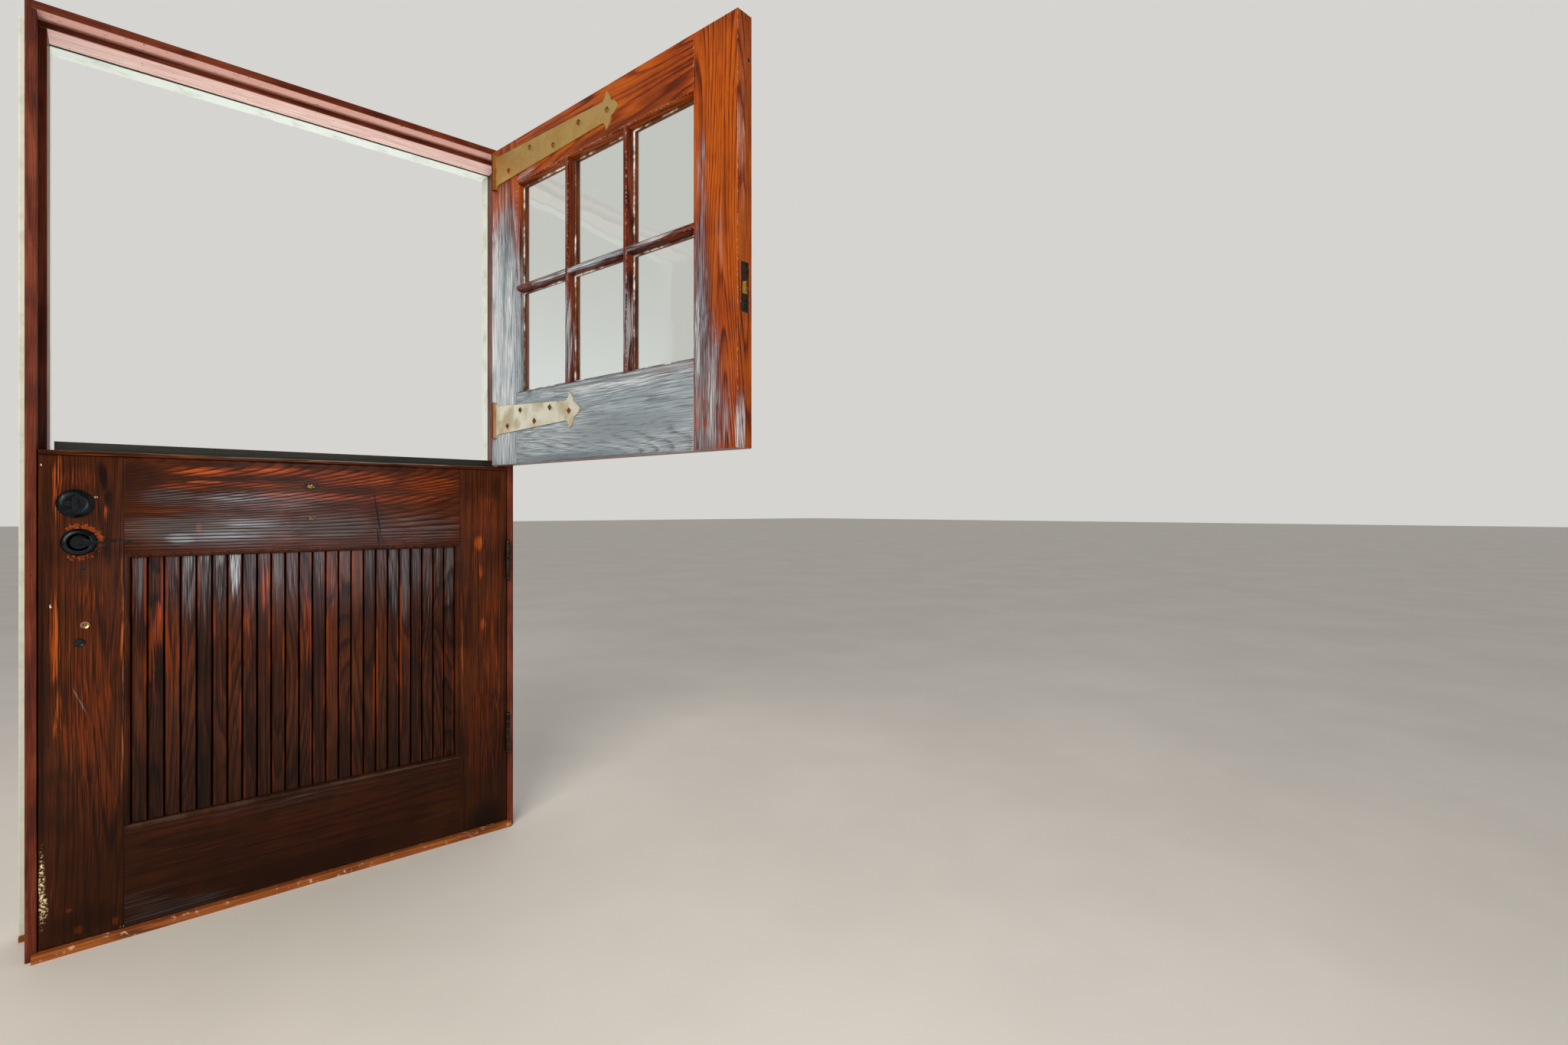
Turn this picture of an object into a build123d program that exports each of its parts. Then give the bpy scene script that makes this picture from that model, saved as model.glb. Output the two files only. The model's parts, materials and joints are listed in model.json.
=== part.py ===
from build123d import *
import math
import os

# A stable door in its frame, seen from the room: X runs along the wall to the hinge jamb,
# Y points outdoors and Z up. The sill's underside is at Z 0 and the room face of the closed
# leaves at Y 0. The lower leaf stands closed and the upper leaf open. Sizes are in millimetres.

# Leaves
leaf_width = 1016.0
leaf_thickness = 44.5
lower_height = 1075.0
upper_height = 944.0
open_angle = 98.5

# Gaps round the leaves, screws and bolts
side_gap = 2.5
head_gap = 3.0
foot_gap = 4.0
meeting_gap = 3.0
stop_gap = 1.0
screw_gap = 0.05
bolt_gap = 0.2
hub_gap = 0.3

# Frame
jamb_edge = 18.5
stop_width = 13.5
frame_depth = 120.0
dado_depth = 8.0
sill_thickness = 16.0
sill_nose = 15.0
sill_nose_radius = 5.0
sill_fall = 8.0
sill_drip = 12.0
casing_width = 50.0
casing_depth = 50.0
casing_flat = 28.0
casing_quirk = 4.0
casing_shoulder = 18.0
seal_width = 20.0
seal_thickness = 8.0

# Lower leaf
lower_stile = 138.0
lower_top_rail = 221.0
lower_bottom_rail = 219.0
tenon_length = 40.0
tenon_shoulder = 30.0
groove_depth = 10.0
panel_face = 15.0
panel_thickness = 12.0
panel_end_gap = 1.0
board_count = 12
board_pitch = 59.8
bead_groove_width = 5.6
bead_groove_depth = 4.2
tongue_width = 4.0
tongue_length = 5.0
moulding_width = 11.0
moulding_set_back = 2.0
moulding_quirk = 2.0
moulding_fillet = 3.0
cap_height = 10.0
cap_nose = 8.0
lip_thickness = 13.5
lip_rise = 22.0
lip_drop = 30.0
lip_inset = 22.0
lip_gap = 1.5
lip_chamfer = 3.0

# Upper leaf
upper_stile = 137.0
upper_top_rail = 128.0
upper_bottom_rail = 204.0
upper_tenon_face = 15.0
upper_tenon_thickness = 9.0
sticking_width = 6.0
sticking_depth = 14.5
sticking_quirk = 2.0
glass_thickness = 4.0
glass_set_back = 20.5
glass_gap = 1.0
rabbet_width = 7.0
muntin_nose = 10.0
muntin_web = 8.0
bead_recess = 3.0
bead_chamfer = 5.0

# Butt hinges
hinge_height = 114.0
hinge_plate_width = 38.0
hinge_plate_thickness = 2.4
hinge_screw_end = 14.0
hinge_screw_near = 12.5
hinge_screw_far = 29.0
knuckle_radius = 6.5
knuckle_count = 5
knuckle_gap = 0.3
knuckle_stand_off = 1.0
pin_radius = 3.0
pin_gap = 0.05
pin_tip_radius = 5.5
lower_hinge_rise = 269.0
lower_hinge_drop = 275.0
upper_hinge_rise = 190.0
upper_hinge_drop = 190.0

# Screws
screw_head = 4.4
screw_shank = 2.1
screw_sink = 2.2
screw_slot = 1.0
leaf_screw_length = 28.0
jamb_screw_length = 16.0
plate_screw_length = 20.0

# Strap hinges on the upper leaf's outdoor face
strap_thickness = 4.0
strap_root_half = 42.0
strap_neck_half = 27.0
strap_knuckle_half = 53.0
strap_knuckle_radius = 6.0
strap_pin_end = 2.0
strap_knuckle_inset = 20.0
strap_shoulder_start = 30.0
strap_shoulder_end = 48.0
ear_half = 49.5
ear_reach = 14.0
notch_half = 20.0
notch_reach = 35.0
spear_reach = 63.0
upper_strap_neck = 548.0
upper_strap_drop = 67.0
lower_strap_neck = 388.0
lower_strap_rise = 133.0
upper_strap_nails = ((102.0, -18.0), (213.0, 16.0), (329.0, -14.0), (446.0, 9.0), (567.0, 0.0))
lower_strap_nails = ((94.0, -21.0), (163.0, 20.0), (236.0, -17.0), (312.0, 15.0), (402.0, -2.0))
nail_head = 14.0
nail_head_height = 6.0
nail_head_flat = 1.6
nail_shank = 2.0
nail_length = 24.0

# Locks in the lower leaf
deadbolt_backset = 57.5
deadbolt_drop = 107.0
lever_backset = 63.5
lever_drop = 192.5
lock_bore_radius = 27.0
case_radius = 12.0
case_wall_end = 9.0
bolt_width = 12.0
bolt_height = 18.0
bolt_length = 40.0
deadbolt_throw = 25.0
latch_throw = 12.0
latch_bevel = 9.0
faceplate_width = 25.4
faceplate_height = 57.0
faceplate_thickness = 2.5
faceplate_screw_pitch = 42.0
strike_width = 28.0
strike_height = 70.0
strike_thickness = 2.0
strike_screw_pitch = 54.0
strike_clearance = 0.8
strike_extra_depth = 2.0
deadbolt_rose_radius = 31.0
deadbolt_rose_height = 9.0
rose_screw_pitch = 24.4
turn_hub_radius = 8.0
turn_hub_height = 4.0
turn_blade_length = 30.0
turn_blade_width = 9.0
turn_blade_height = 10.0
turn_spindle_radius = 3.6
tail_width = 6.0
tail_thickness = 2.4
cylinder_radius = 30.0
cylinder_height = 14.0
cylinder_plug_radius = 8.0
lever_rose_radius = 30.0
lever_rose_height = 10.0
lever_hub_radius = 11.5
lever_stand_off = 52.0
lever_depth = 12.0
lever_hub_face = 3.0
spindle_side = 7.6

# Small fittings on the lower leaf's latch stile, each placed by its backset and its drop
brass_washer_place = (73.0, 377.4)
brass_washer_radius = 8.5
black_washer_place = (64.2, 416.0)
black_washer_radius = 9.5
small_screw_place = (71.0, 254.0)
washer_height = 2.6
washer_bore = 4.6
washer_rim = 1.6

# Latch in the upper leaf
upper_latch_height = 349.0
upper_plate_width = 25.4
upper_plate_height = 110.0
upper_screw_pitch = 78.0
upper_bolt_width = 16.0
upper_bolt_height = 28.0
upper_bolt_length = 36.0
upper_strike_width = 28.0
upper_strike_height = 84.0
upper_strike_pitch = 66.0
upper_case_width = 20.0
upper_case_height = 66.0
upper_case_depth = 64.0
upper_turn_backset = 50.0
upper_rose_radius = 20.0
upper_rose_height = 5.0
plug_drop = 98.0
plug_radius = 4.5
plug_length = 12.0
plug_depth = 10.0

# Places worked out from the sizes
half_leaf = leaf_width / 2
rabbet_x = half_leaf + side_gap
back_x = rabbet_x + jamb_edge
stop_x = rabbet_x - stop_width
stop_y = leaf_thickness + stop_gap
foot_z = sill_thickness + foot_gap
cap_z = foot_z + lower_height
meeting_z = cap_z + cap_height
upper_z = meeting_z + meeting_gap
upper_top = upper_z + upper_height
rabbet_z = upper_top + head_gap
frame_top = rabbet_z + jamb_edge
stop_z = rabbet_z - stop_width
casing_y = frame_depth + seal_thickness
mid_y = leaf_thickness / 2
pin_x = half_leaf + side_gap / 2
pin_y = -(knuckle_radius + knuckle_stand_off)
glass_y = leaf_thickness - glass_set_back - glass_thickness

room = (0, -1, 0)
outdoors = (0, 1, 0)
base = (Align.CENTER, Align.CENTER, Align.MIN)


def block(x, y, z):
    """A block between two coordinates on each axis."""
    low = [min(pair) for pair in (x, y, z)]
    high = [max(pair) for pair in (x, y, z)]
    size = [h - l for l, h in zip(low, high)]
    middle = [(l + h) / 2 for l, h in zip(low, high)]
    return Pos(*middle) * Box(*size)


def rod(radius, start, end):
    """A round rod between two points."""
    axis = Vector(*end) - Vector(*start)
    return Plane(origin=start, z_dir=axis) * Cylinder(radius, axis.length, align=base)


def turned(profile, centre, direction):
    """A turned piece: the profile gives radius and height along the direction."""
    body = revolve(Plane.XZ * profile, Axis.Z)
    return Plane(origin=centre, z_dir=direction) * body


def member(section, corner, inward, length):
    """A straight member whose section's width runs inward and whose depth runs outdoors."""
    along = Vector(*inward).cross(Vector(*outdoors))
    return extrude(Plane(origin=corner, x_dir=inward, z_dir=along) * section, length)


def bar(section, x):
    """A bar along X with a section drawn in Y and Z."""
    plane = Plane(origin=(min(x), 0, 0), x_dir=(0, 1, 0), z_dir=(1, 0, 0))
    return extrude(plane * section, abs(x[1] - x[0]))


def plate(outline, y):
    """A plate across Y with an outline drawn in X and Z."""
    plane = Plane(origin=(0, max(y), 0), x_dir=(1, 0, 0), z_dir=room)
    return extrude(plane * outline, abs(y[1] - y[0]))


def polygon(*points):
    """A face with straight edges."""
    return make_face(Polyline(*points, close=True))


def all_of(pieces):
    """One shape that holds every piece of a list."""
    return Compound([solid for piece in pieces for solid in piece.solids()])


def cut(body, cutters):
    """The body with every cutter taken out of it."""
    for cutter in cutters:
        body = body - cutter
    return body


def screw(place, direction, length, slack=0.0):
    """A slotted countersunk screw, or with slack the hole that it sits in."""
    head = Cone(screw_head + slack, screw_shank + slack, screw_sink, align=base)
    shank = Cylinder(screw_shank + slack, length + slack, align=base)
    body = head + shank
    if slack == 0:
        body = body - Box(3 * screw_head, screw_slot, screw_slot)
    return Plane(origin=place, z_dir=direction) * body


def screws(places, direction, length, slack=0.0):
    """A group of like screws, or their holes."""
    return [screw(place, direction, length, slack) for place in places]


# Frame


def frame_section():
    """Section of a rabbeted jamb or head, with its width from the back inwards."""
    full = jamb_edge + stop_width
    corners = ((0, 0), (jamb_edge, 0), (jamb_edge, stop_y), (full, stop_y), (full, frame_depth))
    return polygon(*corners, (0, frame_depth))


def head_jamb():
    """The head, housed into both jambs."""
    end = rabbet_x + dado_depth
    return member(frame_section(), (-end, 0, frame_top), (0, 0, -1), 2 * end)


def sill():
    """The threshold: flat under the leaf, falling outdoors, with a rounded nose in the room."""
    fall_start = stop_y
    front = casing_y + casing_depth + sill_drip
    slope = sill_fall / (front - fall_start)
    top_at_casing = sill_thickness - slope * (frame_depth - fall_start)
    nose = -sill_nose
    radius = sill_nose_radius
    edge = Polyline(
        (nose, sill_thickness - radius), (nose, 0), (front, 0),
        (front, sill_thickness - sill_fall), (fall_start, sill_thickness),
        (nose + radius, sill_thickness),
    )
    round_edge = RadiusArc((nose + radius, sill_thickness), (nose, sill_thickness - radius), -radius)
    end = rabbet_x + dado_depth
    horn_end = stop_x + casing_width
    horn = polygon(
        (frame_depth, 0), (front, 0), (front, sill_thickness - sill_fall), (frame_depth, top_at_casing)
    )
    return bar(make_face(edge + round_edge), (-end, end)) + bar(horn, (-horn_end, horn_end))


def jamb(side, housed):
    """A jamb with its housings for the head and the sill."""
    corner_z = 0 if side < 0 else frame_top
    body = member(frame_section(), (side * back_x, 0, corner_z), (-side, 0, 0), frame_top)
    return cut(body, housed)


def casing_section():
    """Section of the outdoor casing, with its width from the opening outwards."""
    front = casing_y + casing_depth
    shoulder = front - casing_shoulder
    quirk = front - casing_quirk
    straight = Polyline(
        (casing_width, shoulder), (casing_width, casing_y), (0, casing_y), (0, front),
        (casing_flat, front), (casing_flat, quirk),
    )
    hollow = RadiusArc((casing_flat, quirk), (casing_width, shoulder), casing_width - casing_flat)
    return make_face(straight + hollow)


def mitre_block(side):
    """What a mitre takes off the head casing at one end."""
    outer = stop_x + casing_width
    edge = ((side * stop_x, stop_z), (side * outer, stop_z + casing_width), (side * outer, stop_z))
    return plate(polygon(*edge), (casing_y, casing_y + casing_depth))


def side_casing(side, housed):
    """A side casing, mitred at the head and scribed to the sill."""
    height = stop_z + casing_width
    corner_z = height if side < 0 else 0
    body = member(casing_section(), (side * stop_x, 0, corner_z), (side, 0, 0), height)
    edge = (
        (side * stop_x, stop_z), (side * (stop_x + casing_width), height), (side * stop_x, height)
    )
    body = body - plate(polygon(*edge), (casing_y, casing_y + casing_depth))
    return cut(body, housed)


def head_casing():
    """The head casing, mitred at both ends."""
    outer = stop_x + casing_width
    body = member(casing_section(), (outer, 0, stop_z), (0, 0, 1), 2 * outer)
    return cut(body, [mitre_block(-1), mitre_block(1)])


def seal_strips(housed):
    """Dark sealing strips between the frame and the casing, one for each side and the head."""
    outer = stop_x + seal_width
    depth = (frame_depth, casing_y)
    sides = [block((s * stop_x, s * outer), depth, (0, stop_z)) for s in (-1, 1)]
    head = block((-outer, outer), depth, (stop_z, stop_z + seal_width))
    return [cut(strip, housed) for strip in sides] + [head]


# Butt hinges


def hinge_screw_places(face, z):
    """Where the four screws of a hinge plate stand, staggered over its width."""
    end = hinge_height / 2 - hinge_screw_end
    middle = hinge_height / 8
    rows = (
        (-end, hinge_screw_near), (-middle, hinge_screw_far), (middle, hinge_screw_far),
        (end, hinge_screw_near),
    )
    return [(face, y, z + up) for up, y in rows]


def hinge_recess(face, into, z):
    """The shallow recess that a hinge plate is let into."""
    half = hinge_height / 2
    return block((face, face + into * hinge_plate_thickness), (-1, hinge_plate_width), (z - half, z + half))


def hinge_plate(face, into, z, knuckles, length):
    """A hinge plate with its own knuckles, drilled for the pin and countersunk for its screws."""
    half = hinge_height / 2
    step = hinge_height / knuckle_count
    edge_y = -knuckle_stand_off / 2
    thick = (face, face + into * hinge_plate_thickness)
    body = block(thick, (edge_y, hinge_plate_width), (z - half, z + half))
    for index in knuckles:
        low = z - half + index * step + knuckle_gap / 2
        high = low + step - knuckle_gap
        body = body + rod(knuckle_radius, (pin_x, pin_y, low), (pin_x, pin_y, high))
        body = body + block(thick, (pin_y, edge_y), (low, high))
    bottom = (pin_x, pin_y, z - half - 1)
    top = (pin_x, pin_y, z + half + 1)
    body = body - rod(pin_radius + pin_gap, bottom, top)
    return cut(body, screws(hinge_screw_places(face, z), (into, 0, 0), length, screw_gap))


def hinge_pin(z):
    """A hinge pin with a round tip at each end."""
    half = hinge_height / 2
    foot = half + knuckle_gap
    corner = Polyline((0, pin_tip_radius), (0, 0), (pin_tip_radius, 0))
    tip = make_face(corner + CenterArc((0, 0), pin_tip_radius, 0, 90))
    body = rod(pin_radius, (pin_x, pin_y, z - foot), (pin_x, pin_y, z + foot))
    body = body + turned(tip, (pin_x, pin_y, z + foot), (0, 0, 1))
    return body + turned(tip, (pin_x, pin_y, z - foot), (0, 0, -1))


leaf_knuckles = range(1, knuckle_count, 2)
jamb_knuckles = range(0, knuckle_count, 2)
lower_hinges = [foot_z + lower_hinge_rise, cap_z - lower_hinge_drop]
upper_hinges = [upper_z + upper_hinge_rise, upper_top - upper_hinge_drop]


def leaf_hinge_screws(heights, slack=0.0):
    """The screws of the leaf plates at these heights, or their holes."""
    groups = [screws(hinge_screw_places(half_leaf, z), (-1, 0, 0), leaf_screw_length, slack) for z in heights]
    return [one for group in groups for one in group]


def jamb_hinge_screws(slack=0.0):
    """The screws of all four jamb plates, or their holes."""
    heights = lower_hinges + upper_hinges
    groups = [screws(hinge_screw_places(rabbet_x, z), (1, 0, 0), jamb_screw_length, slack) for z in heights]
    return [one for group in groups for one in group]


# Locks and latches


deadbolt_x = -half_leaf + deadbolt_backset
deadbolt_z = cap_z - deadbolt_drop
lever_x = -half_leaf + lever_backset
lever_z = cap_z - lever_drop
upper_latch_z = upper_z + upper_latch_height
upper_turn_x = -half_leaf + upper_turn_backset


def edge_plate(height, width, z, hole, pitch):
    """A bolt's faceplate, let in flush at the leaf's free edge."""
    x = (-half_leaf, -half_leaf + faceplate_thickness)
    body = block(x, (mid_y - width / 2, mid_y + width / 2), (z - height / 2, z + height / 2))
    body = body - block(x, (mid_y - hole[0] / 2, mid_y + hole[0] / 2), (z - hole[1] / 2, z + hole[1] / 2))
    return cut(body, edge_plate_screws(z, pitch, screw_gap))


def edge_plate_screws(z, pitch, slack=0.0):
    """The two screws of a faceplate, or their holes."""
    places = [(-half_leaf, mid_y, z + s * pitch / 2) for s in (-1, 1)]
    return screws(places, (1, 0, 0), plate_screw_length, slack)


def edge_plate_recess(height, width, z):
    """The recess of a faceplate in the leaf's free edge."""
    x = (-half_leaf, -half_leaf + faceplate_thickness)
    return block(x, (mid_y - width / 2, mid_y + width / 2), (z - height / 2, z + height / 2))


def tube_case(x, z):
    """A tubular bolt case from the faceplate to the cross bore, with its channel and hub hole."""
    start = -half_leaf + faceplate_thickness
    body = rod(case_radius, (start, mid_y, z), (x + case_wall_end, mid_y, z))
    half_w = bolt_width / 2 + bolt_gap
    half_h = bolt_height / 2 + bolt_gap
    channel_end = -half_leaf + bolt_length + bolt_gap
    channel = block((start, channel_end), (mid_y - half_w, mid_y + half_w), (z - half_h, z + half_h))
    hub = rod(spindle_side * 0.75, (x, 0, z), (x, leaf_thickness, z))
    return cut(body - channel - hub, rose_screws(screw_gap))


def lock_bores(x, z):
    """The cross bore through the stile and the edge bore for the bolt case."""
    cross = rod(lock_bore_radius, (x, 0, z), (x, leaf_thickness, z))
    edge = rod(case_radius + screw_gap, (-half_leaf, mid_y, z), (x, mid_y, z))
    return [cross, edge]


def square_bolt(z):
    """The deadbolt, drawn back flush with its faceplate."""
    x = (-half_leaf, -half_leaf + bolt_length)
    y = (mid_y - bolt_width / 2, mid_y + bolt_width / 2)
    return block(x, y, (z - bolt_height / 2, z + bolt_height / 2))


def bevelled_bolt(z, width, height, length):
    """A latch bolt, drawn back flush, with its bevel on the outdoor side."""
    front = -half_leaf
    low = mid_y - width / 2
    high = mid_y + width / 2
    edge = ((front, low), (front + length, low), (front + length, high), (front + latch_bevel, high))
    face = polygon(*edge, (front, low + width / 3))
    return Pos(0, 0, z - height / 2) * extrude(face, height)


def strike(z, width, height, hole, pitch):
    """A strike plate let in flush in the latch jamb."""
    x = (-rabbet_x, -rabbet_x - strike_thickness)
    body = block(x, (mid_y - width / 2, mid_y + width / 2), (z - height / 2, z + height / 2))
    body = body - strike_hole(z, hole, strike_thickness)
    return cut(body, strike_screws(z, pitch, screw_gap))


def strike_screws(z, pitch, slack=0.0):
    """The two screws of a strike plate, or their holes."""
    places = [(-rabbet_x, mid_y, z + s * pitch / 2) for s in (-1, 1)]
    return screws(places, (-1, 0, 0), jamb_screw_length, slack)


def strike_hole(z, hole, depth):
    """The pocket that a bolt shoots into, measured from the face of its strike."""
    half_w = hole[0] / 2 + strike_clearance
    half_h = hole[1] / 2 + strike_clearance
    x = (-rabbet_x, -rabbet_x - depth)
    return block(x, (mid_y - half_w, mid_y + half_w), (z - half_h, z + half_h))


bolt_section = (bolt_width, bolt_height)
upper_bolt_section = (upper_bolt_width, upper_bolt_height)
latch_pocket = latch_throw - side_gap + strike_extra_depth
deadbolt_pocket = deadbolt_throw - side_gap + strike_extra_depth
strikes = (
    (deadbolt_z, strike_width, strike_height, bolt_section, strike_screw_pitch, deadbolt_pocket),
    (lever_z, strike_width, strike_height, bolt_section, strike_screw_pitch, latch_pocket),
    (
        upper_latch_z, upper_strike_width, upper_strike_height, upper_bolt_section,
        upper_strike_pitch, latch_pocket,
    ),
)


def strike_cutters():
    """Everything that the three strikes take out of the latch jamb."""
    cutters = []
    for z, width, height, hole, pitch, depth in strikes:
        x = (-rabbet_x, -rabbet_x - strike_thickness)
        cutters.append(block(x, (mid_y - width / 2, mid_y + width / 2), (z - height / 2, z + height / 2)))
        cutters.append(strike_hole(z, hole, depth))
        cutters.extend(strike_screws(z, pitch, screw_gap))
    return cutters


def deadbolt_rose():
    """The domed indoor rose of the deadbolt, with holes for the spindle and two screws."""
    radius = deadbolt_rose_radius
    height = deadbolt_rose_height
    straight = Polyline((radius * 0.55, height), (0, height), (0, 0), (radius, 0), (radius, height * 0.3))
    dome = TangentArc((radius * 0.55, height), (radius, height * 0.3), tangent=(1, 0))
    body = turned(make_face(straight + dome), (deadbolt_x, 0, deadbolt_z), room)
    hole = rod(turn_spindle_radius + hub_gap, (deadbolt_x, 0, deadbolt_z), (deadbolt_x, -height, deadbolt_z))
    return cut(body - hole, rose_screws(screw_gap))


def rose_screws(slack=0.0):
    """The two long screws that clamp the deadbolt's rose and cylinder together, or their holes."""
    height = deadbolt_rose_height
    places = [(deadbolt_x + s * rose_screw_pitch / 2, -height, deadbolt_z) for s in (-1, 1)]
    return screws(places, outdoors, height + leaf_thickness + cylinder_height / 2, slack)


def thumb_turn(x, z, height, spindle_end):
    """A thumb turn standing upright, with its spindle and flat tail in one piece."""
    gap = hub_gap
    hub = rod(turn_hub_radius, (x, -height - gap, z), (x, -height - gap - turn_hub_height, z))
    inner = -height - gap - turn_hub_height
    straight = (turn_blade_length - turn_blade_width) / 2
    blade = block(
        (x - turn_blade_width / 2, x + turn_blade_width / 2), (inner, inner - turn_blade_height),
        (z - straight, z + straight),
    )
    for side in (-1, 1):
        end = z + side * straight
        blade = blade + rod(turn_blade_width / 2, (x, inner, end), (x, inner - turn_blade_height, end))
    spindle = rod(turn_spindle_radius, (x, -height - gap, z), (x, 0, z))
    tail = block(
        (x - tail_thickness / 2, x + tail_thickness / 2), (0, spindle_end),
        (z - tail_width / 2, z + tail_width / 2),
    )
    return hub + blade + spindle + tail


def deadbolt_cylinder():
    """The outdoor key cylinder with its tapered collar and keyway."""
    radius = cylinder_radius
    height = cylinder_height
    face = polygon(
        (0, 0), (radius, 0), (radius, 2), (radius - 4, height), (cylinder_plug_radius + 2, height),
        (cylinder_plug_radius + 2, height - 2), (0, height - 2),
    )
    body = turned(face, (deadbolt_x, leaf_thickness, deadbolt_z), outdoors)
    plug_face = leaf_thickness + height - 2
    plug = rod(cylinder_plug_radius, (deadbolt_x, plug_face, deadbolt_z), (deadbolt_x, plug_face + 2, deadbolt_z))
    keyway = block(
        (deadbolt_x - 1.2, deadbolt_x + 1.2), (plug_face - 6, plug_face + 2), (deadbolt_z - 5, deadbolt_z + 4)
    )
    return cut(body + plug - keyway, rose_screws(screw_gap))


def lever_rose(face, direction):
    """A lever's round rose: a raised rim round a sunk middle, with a hole for the hub."""
    rim = lever_rose_radius
    height = lever_rose_height
    hole = lever_hub_radius + hub_gap
    straight = Polyline(
        (rim * 0.66, height), (hole + 3, height * 0.5), (hole, height * 0.5), (hole, 0), (rim, 0),
        (rim, height * 0.3),
    )
    dome = TangentArc((rim * 0.66, height), (rim, height * 0.3), tangent=(1, 0))
    return turned(make_face(straight + dome), (lever_x, face, lever_z), direction)


def lever(face, side):
    """A waved lever with its hub, pointing away from the leaf's free edge."""
    hub_end = face + side * lever_stand_off
    arm_end = hub_end - side * lever_hub_face
    hub = rod(lever_hub_radius, (lever_x, face, lever_z), (lever_x, hub_end, lever_z))
    top = Spline((4, 10.8), (16, 6.5), (31, 1.4), (50, 3.0), (68, 4.8), (84, 1.6), (98, -5.6))
    end = ThreePointArc((98, -5.6), (99.6, -7.4), (97.6, -8.6))
    low = Spline((97.6, -8.6), (84, -2.4), (68, 0.8), (50, -1.6), (31, -4.0), (16, -7.5), (4, -10.8))
    root = Line((4, -10.8), (4, 10.8))
    arm = plate(make_face(top + end + low + root), (arm_end, arm_end - side * lever_depth))
    body = hub + Pos(lever_x, 0, lever_z) * arm
    half = spindle_side / 2
    socket = block(
        (lever_x - half, lever_x + half), (face, face + side * (lever_stand_off - 12)),
        (lever_z - half, lever_z + half),
    )
    return body - socket


def lever_spindle():
    """The square spindle through the leaf that joins both levers."""
    half = spindle_side / 2
    reach = lever_stand_off - 12
    return block(
        (lever_x - half, lever_x + half), (-reach, leaf_thickness + reach),
        (lever_z - half, lever_z + half),
    )


# Small fittings on the latch stile


def washer_screw(place, slack=0.0):
    """The screw in the middle of a cup washer, or its hole."""
    x = -half_leaf + place[0]
    return screw((x, -washer_rim, cap_z - place[1]), outdoors, leaf_screw_length, slack)


def cup_washer(place, radius):
    """A round finishing washer with a raised rim."""
    bore = washer_bore
    edge = Polyline((radius - 1, washer_height), (bore, washer_rim), (bore, 0), (radius, 0))
    curve = TangentArc((radius, 0), (radius - 1, washer_height), tangent=(0, 1))
    centre = (-half_leaf + place[0], 0, cap_z - place[1])
    return turned(make_face(edge + curve), centre, room)


def small_screw(slack=0.0):
    """A single screw set flush in the latch stile, or its hole."""
    x = -half_leaf + small_screw_place[0]
    return screw((x, 0, cap_z - small_screw_place[1]), outdoors, plate_screw_length, slack)


# Lower leaf


opening_x = half_leaf - lower_stile
opening_low = foot_z + lower_bottom_rail
opening_high = cap_z - lower_top_rail
panel_back = panel_face + panel_thickness
panel_y = (panel_face, panel_back)


def tenon(side, z):
    """A rail's tenon in one stile."""
    x = (side * opening_x, side * (opening_x + tenon_length))
    return block(x, panel_y, z)


lower_tenons = [
    tenon(side, z)
    for side in (-1, 1)
    for z in (
        (foot_z + tenon_shoulder, opening_low - groove_depth),
        (opening_high + groove_depth, cap_z - tenon_shoulder),
    )
]


def lower_stile_body(side, cutters):
    """A stile of the lower leaf, grooved for the panel and mortised for the rails."""
    body = block((side * half_leaf, side * opening_x), (0, leaf_thickness), (foot_z, cap_z))
    groove_x = (side * opening_x, side * (opening_x + groove_depth))
    groove = block(groove_x, panel_y, (opening_low - groove_depth, opening_high + groove_depth))
    return cut(body, [groove] + lower_tenons + cutters)


def latch_stile_cutters():
    """Bores, recesses and screw holes of the locks and fittings in the latch stile."""
    cutters = lock_bores(deadbolt_x, deadbolt_z) + lock_bores(lever_x, lever_z)
    for z in (deadbolt_z, lever_z):
        cutters.append(edge_plate_recess(faceplate_height, faceplate_width, z))
        cutters.extend(edge_plate_screws(z, faceplate_screw_pitch, screw_gap))
    cutters.append(washer_screw(brass_washer_place, screw_gap))
    cutters.append(washer_screw(black_washer_place, screw_gap))
    cutters.append(small_screw(screw_gap))
    return cutters


def lower_rail(z, groove_z, tenons):
    """A rail of the lower leaf with its tenons and panel groove."""
    body = block((-opening_x, opening_x), (0, leaf_thickness), z)
    body = body - block((-opening_x, opening_x), panel_y, groove_z)
    for one in tenons:
        body = body + one
    return body


def board(index):
    """A tongued and grooved board with a V groove at each joint and one down its middle."""
    first = index == 0
    last = index == board_count - 1
    left = (index - board_count / 2) * board_pitch
    right = left + board_pitch
    middle = (left + right) / 2
    edge = opening_x + groove_depth - panel_end_gap
    low = -edge if first else left
    high = edge if last else right
    shape = Pos((low + high) / 2, (panel_face + panel_back) / 2) * Rectangle(high - low, panel_thickness)
    tongue_low = panel_back - tongue_width * 1.5
    tongue_y = tongue_low + tongue_width / 2
    half = bead_groove_width / 2
    for x in (left, middle, right):
        shape = shape - polygon((x - half, panel_face), (x + half, panel_face), (x, panel_face + bead_groove_depth))
    if not last:
        shape = shape + Pos(right + tongue_length / 2, tongue_y) * Rectangle(tongue_length, tongue_width)
    if not first:
        shape = shape - Pos(left + tongue_length / 2, tongue_y) * Rectangle(tongue_length, tongue_width)
    foot = opening_low - groove_depth + panel_end_gap
    return Pos(0, 0, foot) * extrude(shape, opening_high - opening_low + 2 * (groove_depth - panel_end_gap))


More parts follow.
